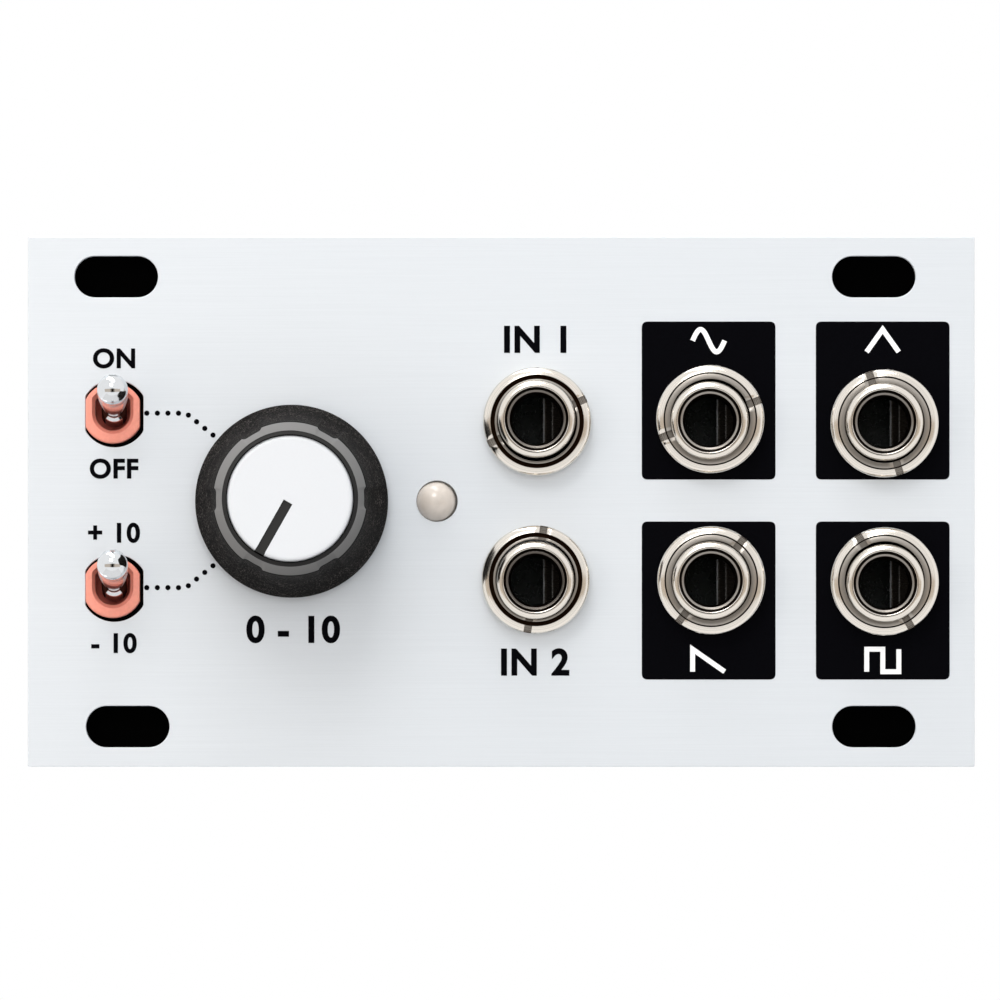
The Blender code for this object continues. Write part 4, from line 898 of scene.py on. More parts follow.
# How much painted shade each bore's ledge, and each nut's slots, take
LEDGE_PAINTED_SHADE = (0.78, 0.58, 0.7, 0.86, 0.62, 0.62)
SLOT_PAINTED_SHADE = 0.38
LEAF_WIDE = 3.6
LEAF_THICK = 0.25
# Centre line of the tip spring, from the jack's axis, as (x, y)
LEAF_PATH = (
    (3.275, 9.5),
    (3.275, 9.1),
    (0.9, 6.3),
    (0.62, 5.8),
    (0.62, 4.45),
    (0.68, 4.35),
    (1.2, 4.55),
    (1.9, 4.3),
)


def sleeve_profile():
    """Bushing from its flange, along the thread, over a crowned face and down a stepped bore;
    which of its rows take painted shade: the step in its face, the bore and the back; and which lie
    on the bore's ledge. The crown is a quarter of an ellipse. The depths count from the tip until the
    last step."""
    back = corners("jack_1_bushing")[1][1] - SLEEVE_TIP
    flange = ((SLEEVE_BORE, back), (FLANGE, back), (FLANGE, back - FLANGE_THICK))
    shank = np.linspace(back - FLANGE_THICK, 0.55, 110)
    thread = np.column_stack((np.full(len(shank), THREAD_RADIUS), shank))
    share = np.sin(np.linspace(1.45, 0.05, 14))
    crown = np.column_stack((2.41 + 0.5 * share, CROWN_FALL * (1 - np.sqrt(1 - share**2))))
    step = ((2.39, 0.02), (2.36, 0.09), (2.18, 0.55), (2.16, 0.55), (2.02, 0.62), (1.99, 0.68))
    bore = eased((*step, (1.96, 1.4), (SLEEVE_BORE, 5), (SLEEVE_BORE, back)), 0.03, 3)
    rows = np.vstack((flange, thread, crown, bore))
    radius, deep = rows.T
    # Painted shade: the step in the face, the bore and the back take it wholly.
    stepped = (deep > 0.06) & (deep < 0.56) & (radius > 2.17) & (radius < 2.4)
    bore_and_back = ((deep > 0.67) & (radius < 2)) | ((deep > 0.5) & (radius > 2.7))
    ledge = (deep < 0.67) & (radius < 2.17)
    return rows + (0, SLEEVE_TIP), (stepped | bore_and_back) * 1.0, ledge * 1.0


def threaded(radius, depth, angle):
    """Ridges on the rows at the thread's radius: the valley at a point is a triangle wave of its
    depth over the pitch less its share of a turn, so the crest climbs one pitch a turn."""
    phase = (depth / size("thread") - angle / TURN) % 1
    valley = 1 - np.abs(2 * phase - 1)
    full = np.clip((depth - SLEEVE_TIP) / THREAD_START - 1, 0, 1)
    cut = np.isclose(radius, THREAD_RADIUS, atol=WELD)
    return radius - THREAD_DEPTH * cut * (1 - full + valley * full)


def nut_profile(groove):
    """Round nut: seat, side, a rim that falls outwards by 0.5 s + 0.3 s^2 + 0.2 s^8 of its
    fall, with s from 0 to 1 across it, a groove, and a land round the thread that falls outwards
    too; and how much painted shade each row takes: the groove and the bore wholly, the land half.
    The depths count from the nut's top until the last step."""
    seat, inner = NUT_SEAT - NUT_TOP, NUT_RADIUS - NUT_RIM
    side = eased(((NUT_BORE, seat), (NUT_RADIUS, seat), (NUT_RADIUS, NUT_FALL + 0.05)), 0.15)
    share = np.linspace(1, 0, 12)
    fall = NUT_FALL * (0.5 * share + 0.3 * share**2 + 0.2 * share**8)
    rim = np.column_stack((inner + (NUT_RIM - 0.02) * share, fall))
    outer = inner - 0.03 - groove
    low = 0.16 * (outer - NUT_BORE) + 0.02
    walls = ((inner - 0.01, 0.03), (inner - 0.03, GROOVE_DEPTH), (outer + 0.01, GROOVE_DEPTH))
    land = ((outer, low + 0.01), (outer - 0.01, low), (NUT_BORE + 0.02, 0.02))
    land = eased((*walls, *land, (NUT_BORE, 0.1), (NUT_BORE, seat)), 0.015, 2)
    rows = np.vstack((side, rim, land))
    radius, deep = rows.T
    # Painted shade: the groove and the bore take it wholly, the land half.
    grooved = (radius < inner - 0.005) & (radius > outer - 0.005) & (deep > 0.12)
    worn = (radius < outer + WELD) & (deep < 0.12)
    dark = np.where(grooved | ((radius < NUT_BORE + WELD) & (deep > 0.08)), 1.0, 0.5 * worn)
    return rows + (0, NUT_TOP), dark


def leaf():
    """Tip spring of a jack at the origin, and how much painted highlight each point takes: its bend
    most, and the crest behind it a little."""
    path = eased(LEAF_PATH, 0.12)
    shape = ribbon(path, LEAF_THICK, -LEAF_WIDE / 2, LEAF_WIDE / 2, upright=True)
    across, deep = shape.points[:, :2].T
    # Painted highlight on the bend, and a little on the crest.
    bend = (deep < 4.5) & (across < 0.62)
    crest = (deep < 4.65) & (np.abs(across - 1.2) < 0.06)
    return shape, bend + 0.3 * crest


class MODULE_OT_jacks(bpy.types.Operator):
    """Turns the nickel nuts and sleeves of the six jacks and bends their contact leaves"""

    bl_idname = "module.jacks"
    bl_label = "Jacks"

    def execute(self, context):
        profile, bore_and_back, ledge = sleeve_profile()
        spring, rubbed = leaf()
        plays = zip(JACKS, NUT_TURNS, NUT_GROOVES, LEDGE_PAINTED_SHADE, SLEEVE_SHIFTS, NUT_SHIFTS)
        for number, turn, groove, ledge_shade, sleeve_shift, nut_shift in plays:
            name, place = f"jack_{number}", JACKS[number]
            sleeve = turned(profile, place + sleeve_shift, steps=120, relief=threaded)
            # Painted shade of the sleeve: its step, bore, back and ledge.
            recess = spread(sleeve, np.maximum(bore_and_back, ledge_shade * ledge))
            piece(f"{name}_sleeve", NICKEL, sleeve, node=f"{name}_bushing", recess=recess)
            rows, dark = nut_profile(groove)
            cut = (turn, NUT_SLOT, NUT_SLOT_EDGE, NUT_SLOT_FLOOR)
            nut, sunk = slotted(rows, place + nut_shift, *cut)
            # Painted shade of the nut: groove, bore, land and slot floors.
            recess = np.maximum(dark, SLOT_PAINTED_SHADE * sunk)
            piece(f"{name}_ring_nut", NICKEL, nut, node=f"{name}_nut", recess=recess)
            look, made = ("tinned_phosphor_bronze", "spring_bronze"), spring.moved(place)
            nodes = (f"{name}_spring", f"{name}_tip_spring")
            piece(f"{name}_leaf", look, made, *nodes, rubbed=rubbed)
            dress(f"{name}_housing", BLACK, bevel=0.12)
            dress(f"{name}_ground_pin", ("bright_tin", "nickel_plate"), bevel=0.04)
        return {"FINISHED"}


# Toggle switches

BARREL = (4.55, 4.07)
BARREL_TIP = -2.05
BARREL_SHIFT = (-0.1, 0)
MOUTH = 1.55
MOUTH_TOP = 1.72
MOUTH_CORNER = 1.92
WAY = 1.31
CASE_FRONT = 3.5
CASE_EDGE = 0.12
CASE_CORNER = 0.4
PIVOT_Y = -0.4
TAIL = 5.3
SHANK = 1.14
WAIST = 0.62
BALL = 1.15
BALL_REACH = 8.3
GASKET = 6.2
GASKET_BACK = 0.5
# Painted shade along the lever's underside
UNDERSIDE_SHADE = 0.12


def barrel_rows():
    """Barrel from its root, over an eased rim, into the stepped mouth down to the pivot's seat,
    and how much painted shade each row takes."""
    outer = BARREL[0] / 2
    outside = eased(((outer, CASE_FRONT), (outer, BARREL_TIP), (MOUTH, BARREL_TIP)), 0.22, 6)
    step = ((MOUTH, 0.03), (0.97 * MOUTH, 0.1), (WAY, 0.4))
    well = eased(((WAY, 0.6), (WAY, 3.2), (0.6, 3.6), (0, 3.6)), 0.1)
    inner = np.vstack((step, well)) + (0, BARREL_TIP)
    # Painted shade: none outside, some on the mouth's step, all of it in the well.
    inside = np.concatenate((np.zeros(len(outside)), (0.2, 0.42, 0.42), np.ones(len(well))))
    return np.vstack((outside, inner)), inside


def barrel_form(radius, depth, angle):
    """Presses two upright flats on the outside, and squares the upper half of the mouth: its
    radius is the least of half its width / |cos a|, its rise / sin a and its corner's radius."""
    outer, wide = np.array(BARREL) / 2
    level = np.maximum(np.abs(np.cos(angle)), WELD)
    upright = np.maximum(np.sin(angle), WELD)
    flat = np.minimum(1, wide / (outer * level))
    share = np.clip((radius - MOUTH) / (outer - MOUTH), 0, 1)
    squared = np.minimum(np.minimum(MOUTH / level, MOUTH_TOP / upright), MOUTH_CORNER) / MOUTH
    opening = np.where(np.sin(angle) > 0, np.maximum(squared, 1), 1)
    grown = 1 + (opening - 1) * np.clip((outer - radius) / (outer - MOUTH), 0, 1)
    grown = np.where(radius < WAY - WELD, 1, grown)
    return radius * (1 - share * (1 - flat)) * grown


def lever():
    """Lever from its tail past the pivot's collar, along a shank whose radius grows as
    1 - (1 - s)^2 to its ball end, about its pivot, and how much painted shade lies on each point:
    less and less towards the ball, which has none on top, and a little all along the underside."""
    collar = ((0.5, 1.2), (0.95, 0.7), (0.95, -1.2), (0.62, -1.36), (0.6, -1.6))
    reach = np.linspace(0, 1, 10)
    radius = SHANK - (SHANK - WAIST) * (1 - reach) ** 2
    shank = np.column_stack((radius, -1.7 - (BALL_REACH - 2.2) * reach))
    ball = arc(BALL, math.radians(8), -TURN / 4, 22) - (0, BALL_REACH)
    rows = np.vstack(((0, TAIL), (0.5, TAIL), eased(collar, 0.2, 5), shank, ball))
    radius, depth = rows.T
    # Painted shade, fading out from the pivot towards the ball.
    pivot_shade = np.minimum(np.clip(1.2 + depth / 8.6, 0, 1), np.clip(6.3 + depth / 1.2, 0, 1))
    under = np.sin(np.linspace(0, TURN, 97))[:, None] < -0.75
    return turned(rows), np.where(under & (radius > 0.63), UNDERSIDE_SHADE, pivot_shade)


class MODULE_OT_switches(bpy.types.Operator):
    """Moulds the salmon toggle barrels and turns the chrome levers at their resting tilt"""

    bl_idname = "module.switches"
    bl_label = "Toggle switches"

    def execute(self, context):
        rows, inside = barrel_rows()
        bat, grease = lever()
        bat.points[:, 1:] = swung(bat.points[:, 1:], -TOGGLE_TILT) + (PIVOT_Y, 0)
        for name, place in SWITCHES.items():
            switch = f"switch_{name}"
            low, high = corners(f"{switch}_housing")
            barrel = turned(rows, place + BARREL_SHIFT, relief=barrel_form)
            near, far = CASE_FRONT, high[1]
            walls = ((CASE_EDGE, near), (0, near + CASE_EDGE), (0, far - CASE_EDGE), (CASE_EDGE, far))
            case = prism(rounded(high[0] - low[0], high[2] - low[2], CASE_CORNER), walls, place)
            # Painted shade of the mouth's walls; the case takes none.
            depths = np.concatenate((spread(barrel, inside), np.zeros(len(case.points))))
            look = ("moulded_salmon_resin", "salmon_moulding")
            both = [barrel, case]
            piece(f"{switch}_moulding", look, both, node=f"{switch}_housing", inside=depths)
            look = ("polished_chrome_plate", "chrome_lever")
            nodes = (f"{switch}_lever", f"{switch}_bat")
            piece(f"{switch}_toggle", look, bat.moved(place), *nodes, grease=grease)
            dress(f"{switch}_base", BLACK, bevel=0.08)
            loops = [disc(GASKET) + place, flat_sided(*BARREL) + place + BARREL_SHIFT]
            mesh = cut_plate(f"{switch}_gasket", loops, BACK + OVERLAY, GASKET_BACK)
            piece(f"{switch}_gasket", ("black_rubber", "moulded_black"), mesh)
        return {"FINISHED"}


# Knob, potentiometer and lamp

KNOB_FRONT, KNOB_BACK = (corner[1] for corner in corners("knob_body"))
SKIRT = 7.2
SHOULDER = 5.74
LIP = 5.06
SEAT = 4.75
SEAT_DEPTH = 1.1
HOLLOW = 3.4
BOSS_HOLE = 8.5
FLUTE_HALF_TURN = math.radians(8.5)
CAP_FALL = 0.2
CAP_INSET = 0.08
POINTER_START = 0.3
POINTER_END = 0.05
POINTER_HALF = 0.4
POINTER_SUNK = 0.1
# Painted light in the pointer's slot
POINTER_SHINE = 0.15
LENS_RADIUS = 1.49
LENS_BULGE = 1.3
LENS_PROUD = 0.3
LENS_FLANGE = 0.4


def knob_rows():
    """Profile of the knob as (radius, depth), with each row's share of flute and its marks. It
    runs from the cap's seat over lip, shoulder, flank and skirt into the hollow underside. On
    the flank the radius is the shoulder's plus the rest times (1 - s)^2, s rising to 1. The
    depths count from the knob's front until the last step."""
    base, flank_top = KNOB_BACK - KNOB_FRONT, SHOULDER + 0.03
    seat = ((0, SEAT_DEPTH), (SEAT, SEAT_DEPTH), (SEAT, 0.03))
    lip = ((SEAT, 0.1), (SEAT + 0.04, 0.1), (LIP - 0.02, 0.34), (LIP, 0.3))
    shoulder = ((SHOULDER - 0.06, 0.92), (SHOULDER - 0.04, 0.96), (SHOULDER, 1.2))
    crown = eased((*lip, *shoulder, (flank_top, 1.8)), 0.02, 2)
    share = np.linspace(0.98, 0, 26)
    radius = flank_top + (SKIRT - flank_top) * (1 - share) ** 2
    flank = np.column_stack((radius, base - 1.5 - (base - 3.1) * share))
    skirt = ((SKIRT, base - 1.2), (SKIRT, base), (6.1, base), (5.8, base - HOLLOW))
    boss = ((3.2, base - HOLLOW), (3.15, base - BOSS_HOLE), (0, base - BOSS_HOLE))
    foot = eased((*skirt, *boss), 0.28)
    rise = np.clip((crown[:, 0] - LIP) / (SHOULDER - LIP), 0, 1)
    flutes = (np.zeros(len(seat)), rise, np.clip(2 * share, 0, 1), np.zeros(len(foot)))
    # Painted highlight on the shoulder's edge, and a little painted light on the lip.
    worn = (crown[:, 0] > LIP - 0.01) & (crown[:, 1] < 0.93)
    worn = np.where(worn, 1.0, 0.14 * (crown[:, 0] < LIP))
    below = np.zeros(len(flank) + len(foot))
    rubbed = np.concatenate((np.zeros(len(seat)), worn, below))
    smooth = np.concatenate((np.ones(len(seat) + len(crown)), below))
    rows = np.vstack((seat, crown, flank, foot)) + (0, KNOB_FRONT)
    return rows, np.concatenate(flutes), rubbed, smooth


class MODULE_OT_knob(bpy.types.Operator):
    """Shapes the fluted knob and its white cap, whose pointer is a slot down to the knob"""

    bl_idname = "module.knob"
    bl_label = "Knob"

    def execute(self, context):
        rows, flutes, rubbed, smooth = knob_rows()

        def fluted(radius, depth, angle):
            """Six flutes, one of them at the pointer. With w as the share of the half width
            from a flute's middle, its depth is 1 - w^6 of the deepest."""
            spacing = TURN / 6
            away = np.abs((angle - POINTER_TURN + spacing / 2) % spacing - spacing / 2)
            dent = 1 - np.minimum(away / FLUTE_HALF_TURN, 1) ** 6
            return radius - size("flute") * dent * flutes

        grip = turned(rows, KNOB, steps=360, relief=fluted)
        marks = {"rubbed": spread(grip, rubbed), "smooth": spread(grip, smooth)}
        piece("knob_grip", LACQUER, grip, "knob", "knob_body", **marks)
        low, high = corners("knob_cap")
        radius = (high[0] - low[0]) / 2
        start = math.asin(POINTER_HALF / radius)
        rim = arc(radius, start, TURN - start, 120)
        notch = ((POINTER_START, -POINTER_HALF), (POINTER_START, POINTER_HALF))
        outline = swung(np.vstack((rim, notch, rim[:1])), POINTER_TURN)
        share = np.linspace(0, 1, 7)
        fall = CAP_FALL * (1 - np.sqrt(1 - (1 - share) ** 2))
        walls = ((0, high[1]), *np.column_stack((CAP_INSET * share, low[1] + fall)))
        cap = prism(outline, walls, KNOB, inward=1)
        piece("knob_top", ("moulded_white_resin", "white_cap"), cap, "knob", "knob_cap")
        end = radius - POINTER_END
        bar = rounded(end - POINTER_START, 2 * POINTER_HALF, 0.01, 1)
        bar = swung(bar + ((POINTER_START + end) / 2, 0), POINTER_TURN)
        bar = prism(bar, ((0, high[1]), (0, low[1] + POINTER_SUNK)), KNOB)
        every = np.ones(len(bar.points))
        # The pointer takes a little painted light.
        marks = {"rubbed": POINTER_SHINE * every, "smooth": every}
        piece("knob_pointer", LACQUER, bar, "knob", **marks)
        return {"FINISHED"}


class MODULE_OT_potentiometer(bpy.types.Operator):
    """Dresses the potentiometer behind the knob and its hardware"""

    bl_idname = "module.potentiometer"
    bl_label = "Potentiometer"

    def execute(self, context):
        for node in ("pot_shaft", "pot_bushing", "pot_washer", "pot_nut"):
            dress(node, ("zinc_plated_steel", "pot_metal"), bevel=0.06)
        dress("pot_body", BLACK, bevel=0.12)
        return {"FINISHED"}


class MODULE_OT_lamp(bpy.types.Operator):
    """Casts the lamp's domed lens, on two leads"""

    bl_idname = "module.lamp"
    bl_label = "Lamp"

    def execute(self, context):
        low, high = corners("led_lens")
        radius, rim = LENS_RADIUS, LENS_RADIUS + LENS_FLANGE
        tip, foot = low[1] - LENS_PROUD, high[1]
        turn = np.linspace(0, TURN / 4, 20)
        dome = np.column_stack((radius * np.cos(turn), tip + LENS_BULGE * (1 - np.sin(turn))))
        flange = ((0, foot), (rim, foot), (rim, foot - 1), (radius, foot - 1.05), (radius, tip + 2))
        lens = turned(np.vstack((eased(flange, 0.08, 3), dome)), LAMP)
        piece("lamp_lens", ("cast_epoxy", "clear_resin"), lens, node="led_lens")
        for node in LEADS:
            dress(node, TIN)
        return {"FINISHED"}


# Boards and what they carry

PIN_PITCH = 2.54
LEG_PITCH = 1.27
BOARD_PIN = 0.64 + OVERLAY
SWITCH_PIN = 0.6 + OVERLAY
PIN_TAIL = 0.9 + OVERLAY
SOLDERED_PITCH = 2.5
POT_PINS_FALL = -4.45
# Radius of a solder joint at the board and at the pin, and its height
FRONT_SOLDER = (0.75, 0.36, 0.7)
LINK_SOLDER = (0.8, 0.38, 0.65)
HEADER_FLOOR = 2.6
HEADER_PIN = 5.6 + OVERLAY
MARK_THICK = 0.01
PACKAGE_SLOPE = 0.14
LEG_RISE = 0.14
LEG_THICK = 0.18
LEG_HALF = 0.2
FIRST_LEG_DOT = 0.7
FIRST_LEG_SHIFT = (0.8, -0.9)
OUTLINE_WIDE = 0.15
TRACK_WIDE = 0.25
CHIP_FEET = 3
LINK_TRACK = 5.2
LINK_TRACK_STEP = 0.6
DIAL_RADIUS = 1.6
DIAL_SLOT_HALF = 0.3
DIAL_SLOT_DEPTH = 0.7
# Small parts: length and width of the body, height, length of an end and of a pad, and how far
# both lie from the middle
PART_LONG, PART_WIDE, PART_TALL = 1.1, 0.8, 0.5
END_LONG, PAD_LONG = 0.3, 0.8
END_AWAY, PAD_AWAY = 0.65, 0.8
# Depths from which and to which the copper and the print on the rear board reach
SKIN = (REAR_FACE - 0.01, REAR_FACE + 0.02)
# Parts with a printed outline, and its gap from them
OUTLINED = {
    "chip_1": 1.35,
    "chip_2": 1.35,
    "power_header": 0.4,
    "trimmer_body": 0.35,
    "capacitor": 0.45,
}


def pins(side, start, end, places):
    """Square pins with chamfered ends, from depth start to end."""
    nose = side * 0.3
    walls = ((nose, start), (0, start + nose), (0, end - nose), (nose, end))
    return copied(prism(rounded(side, side, side / 10, 2), walls), places)


def joints(pad, pin, rise, face, places):
    """Solder round pins: the radius falls from pad to pin as (1 - s)^2 while the height rises."""
    share = np.linspace(0, 1, 7)
    cone = np.column_stack((pin + (pad - pin) * (1 - share) ** 2, face + rise * share))
    foot = face - OVERLAY
    rows = np.vstack(((0, foot), (pad, foot), cone, (0, face + rise)))
    return copied(turned(rows, steps=20), places)


def row_of(count, pitch):
    """Places at equal steps, about the middle."""
    return (np.arange(count) - (count - 1) / 2) * pitch


def link_places(side):
    """Centres of the six pins of one link."""
    return spot(f"link_header_{side}") + np.column_stack((np.zeros(6), row_of(6, PIN_PITCH)))


class MODULE_OT_boards(bpy.types.Operator):
    """Masks the two boards and solders what comes through them"""

    bl_idname = "module.boards"
    bl_label = "Boards"

    def execute(self, context):
        for node in BOARDS:
            dress(node, ("masked_laminate", "circuit_board"))
        steps = row_of(3, SOLDERED_PITCH)
        tails = [spot(f"switch_{name}_base") + (0, z) for name in SWITCHES for z in steps]
        tails += [KNOB + (x, POT_PINS_FALL) for x in steps]
        ground = [spot(f"jack_{number}_ground_pin") for number in JACKS]
        places = [*ground, *tails, *(spot(node) for node in LEADS)]
        solder = joints(*FRONT_SOLDER, FRONT_BOARD_BACK, places)
        piece("front_solder", TIN, solder)
        made = pins(SWITCH_PIN, FRONT_BOARD_BACK, FRONT_BOARD_BACK + PIN_TAIL, tails)
        piece("front_pin_tails", TIN, made)
        both = np.vstack((link_places("left"), link_places("right")))
        solder = joints(*LINK_SOLDER, REAR_FACE, both)
        made = pins(BOARD_PIN, REAR_FACE, REAR_FACE + PIN_TAIL, both)
        piece("link_solder", TIN, [solder, made])
        return {"FINISHED"}


class MODULE_OT_connectors(bpy.types.Operator):
    """Dresses the links between the boards and the shrouded power header, and gilds the header's pins
    """

    bl_idname = "module.connectors"
    bl_label = "Connectors"

    def execute(self, context):
        for side in ("left", "right"):
            dress(f"link_socket_{side}", BLACK, bevel=0.06)
            dress(f"link_header_{side}", BLACK, bevel=0.04)
        dress("power_header", BLACK, bevel=0.1)
        column, row = np.meshgrid(row_of(5, PIN_PITCH), row_of(2, PIN_PITCH))
        places = spot("power_header") + np.column_stack((column.ravel(), row.ravel()))
        floor = corners("power_header")[0][1] + HEADER_FLOOR
        made = pins(BOARD_PIN, floor, floor + HEADER_PIN, places)
        piece("power_pins", ("gold_flash", "tinned_lead"), made)
        return {"FINISHED"}


def outlined(node, gap):
    """A printed frame round a part, as a closed flat ring."""
    low, high = corners(node)
    wide, _, tall = high - low + 2 * gap
    near, far = SKIN
    line = OUTLINE_WIDE
    ring = ((0, near), (0, far), (line, far), (line, near), (0, near))
    return prism(rounded(wide, tall, 0.2, 2), ring, spot(node), capped=False)


def track(start, end):
    """A copper track between two points of the rear board: level, then slanting, then upright."""
    run, rise = end - start
    slant = min(abs(run), abs(rise))
    bend = start + (run - math.copysign(slant, run), 0)
    corner = bend + (math.copysign(slant, run), math.copysign(slant, rise))
    return ribbon(spaced(np.array((start, bend, corner, end))), TRACK_WIDE, *SKIN)


def track_runs():
    """Start and end of each track: out of the legs of the chips, and of the left link's pins."""
    runs = []
    for number in (1, 2):
        for row in range(-3, 4):
            for side in (-1, 1):
                start = spot(f"chip_{number}") + (side * CHIP_FEET, row * LEG_PITCH)
                out = side * 0.2 * (0.9 + 0.45 * abs(row))
                up = math.copysign(6.15 - abs(row) * LEG_PITCH, row + 0.5)
                runs.append((start, start + (out, up)))
    for start, rise in zip(link_places("left"), row_of(6, LINK_TRACK_STEP)):
        runs.append((start, start + (LINK_TRACK, rise)))
    return runs


class MODULE_OT_board_print(bpy.types.Operator):
    """Lays copper tracks and vias under the rear board's mask, and prints outlines on it"""

    bl_idname = "module.board_print"
    bl_label = "Board print"

    def execute(self, context):
        rings = [outlined(node, gap) for node, gap in OUTLINED.items()]
        piece("board_outlines", ("screen_printed_white", "circuit_board"), rings)
        runs = track_runs()
        tracks = [track(*run) for run in runs]
        piece("board_tracks", ("masked_copper", "circuit_board"), tracks)
        ring = ((0, 0), (0.3, 0), (0.3, 0.03), (0.14, 0.03), (0.12, 0.01), (0, 0.01))
        via = turned(np.array(ring) + (0, REAR_FACE), steps=16)
        piece("board_vias", TIN, copied(via, [end for _, end in runs]))
        return {"FINISHED"}


def chip(node):
    """Package of a chip with sloping sides, its gull-wing legs, and the printed dot of its first
    leg. A leg's centre line goes out of the body, down and along the board."""
    low, high = corners(node)
    place, top = spot(node), high[1]
    wide, _, tall = high - low
    middle, slope = (REAR_FACE + top) / 2, PACKAGE_SLOPE
    walls = ((slope, REAR_FACE + 0.1), (0, middle), (slope, top - 0.03), (slope * 1.4, top))
    package = prism(rounded(wide, tall, 0, 1), walls, place)
    piece(f"{node}_package", ("moulded_epoxy", "moulded_black"), package, node=node)
    foot = REAR_FACE + LEG_RISE
    path = ((0, middle), (0.35, middle), (0.55, foot - 0.05), (1.1, foot - 0.02))
    path = eased(path, 0.14, 3) + (wide / 2, 0)
    places = place + np.column_stack((np.zeros(7), row_of(7, LEG_PITCH)))
    across = (LEG_THICK, -LEG_HALF, LEG_HALF)
    legs = [ribbon(path * (side, 1), *across, upright=True) for side in (-1, 1)]
    piece(f"{node}_legs", TIN, [copied(leg, places) for leg in legs])
    mark = prism(disc(FIRST_LEG_DOT, 24), ((0, top - MARK_THICK), (0, top + MARK_THICK)))
    mark = mark.moved(np.array((low[0], high[2])) + FIRST_LEG_SHIFT)
    piece(f"{node}_mark", ("screen_printed_white", "moulded_black"), mark)


def capacitor():
    """Drawn can with a rolled neck on a moulded foot, and its printed stripe."""
    low, high = corners("capacitor")
    place, radius, top = spot("capacitor"), (high[0] - low[0]) / 2, high[1]
    face = REAR_FACE
    neck = ((radius, face + 1.3), (radius - 0.3, face + 1.7), (radius, face + 2.1))
    can = ((0, face + 0.5), (radius, face + 0.5), *neck, (radius, top), (0, top))
    can = turned(eased(can, 0.3, 5), place)
    piece("capacitor_can", ("drawn_aluminium", "can_aluminium"), can, node="capacitor")
    walls = ((0.05, face + 0.1), (0, face + 0.15), (0, face + 0.85), (0.1, face + 0.95))
    foot = prism(rounded(2 * radius, 2 * radius, 0.7, 1), walls, place)
    piece("capacitor_foot", BLACK, foot, bevel=0.05)
    bow = arc(radius - 0.25, math.radians(35), math.radians(145), 30)
    layer = ((0, top - MARK_THICK), (0, top + MARK_THICK))
    stripe = prism(np.vstack((bow, bow[:1])), layer, place)
    piece("capacitor_stripe", ("screen_printed_black", "can_aluminium"), stripe)


def trimmer():
    """Blue case, and its white dial: a disc that carries two halves with a slot between them."""
    dress("trimmer_body", ("moulded_blue_resin", "trimmer_blue"), bevel=0.15)
    low, high = corners("trimmer_rotor")
    place, floor = spot("trimmer_rotor"), high[1] - DIAL_SLOT_DEPTH
    start = math.asin(DIAL_SLOT_HALF / DIAL_RADIUS)
    bow = arc(DIAL_RADIUS, start, math.pi - start, 40)
    moon = np.vstack((bow, bow[:1]))
    dial = [prism(disc(2 * DIAL_RADIUS, 80), ((0, low[1]), (0, floor)), place)]
    dial += [prism(side * moon, ((0, floor), (0, high[1])), place) for side in (1, -1)]
    look = ("moulded_white_resin", "trimmer_blue")
    piece("trimmer_dial", look, dial, "trimmer", "trimmer_rotor", bevel=0.05)


def passives():
    """Rows of chip resistors and capacitors above and below the main parts."""
    spots = []
    for row, rise in enumerate((8.9, 6.9, -6.9, -8.9)):
        for column in range(17):
            x = 3 * column - 24
            if abs(rise) > 8 or not -21.5 < x < 1.5:
                spots.append((x, PANEL_SPOT[1] + rise, (row + column) % 3))
    for column, rise in enumerate(row_of(4, 2.4)):
        spots.append((11.8, PANEL_SPOT[1] + rise, column % 3))
    wide, top = PART_WIDE, REAR_FACE + PART_TALL
    walls = ((0, REAR_FACE + 0.03), (0, top - OVERLAY))
    body = prism(rounded(PART_LONG, wide - 2 * OVERLAY, 0.03, 2), walls)
    lump = prism(rounded(END_LONG, wide, 0.06, 2), ((0, SKIN[0]), (0, top)))
    pad = prism(rounded(PAD_LONG, wide, 0.06, 2), ((0, SKIN[0]), (0, REAR_FACE + 0.06)))
    for number, finish, kinds in ((1, "moulded_epoxy", (0, 2)), (2, "fired_ceramic", (1,))):
        places = [(x, z) for x, z, kind in spots if kind in kinds]
        piece(f"small_parts_{number}", (finish, "circuit_board"), copied(body, places))
    ends = [(x + side * END_AWAY, z) for x, z, _ in spots for side in (-1, 1)]
    pads = [(x + side * PAD_AWAY, z) for x, z, _ in spots for side in (-1, 1)]
    piece("small_part_ends", TIN, [copied(lump, ends), copied(pad, pads)])


class MODULE_OT_rear_parts(bpy.types.Operator):
    """Builds chips, capacitor, trimmer and the small parts on the rear board"""

    bl_idname = "module.rear_parts"
    bl_label = "Rear parts"

    def execute(self, context):
        chip("chip_1")
        chip("chip_2")
        capacitor()
        trimmer()
        passives()
        return {"FINISHED"}


# Stage

SHADE_LAYER = (BACK - 0.3, BACK - 0.2)
CARD_AWAY = 1200

# The rest of the stage is in metres
TARGET = MM * (PANEL_LOW + PANEL_HIGH) / 2
CAMERA_AWAY = 1.6
CAMERA_DROP = math.radians(0.9)
SENSOR = 36
FRAME_WIDE = 74.79 * MM
AIM = MM * np.array((PANEL_SPOT[0] - 0.0935, FACE, PANEL_SPOT[1] + 0.12))
FLOOR_HALF = 3.0
FLOOR_LEVEL = MM * PANEL_LOW[2] - 0.08
FLOOR_GLOW = 0.5

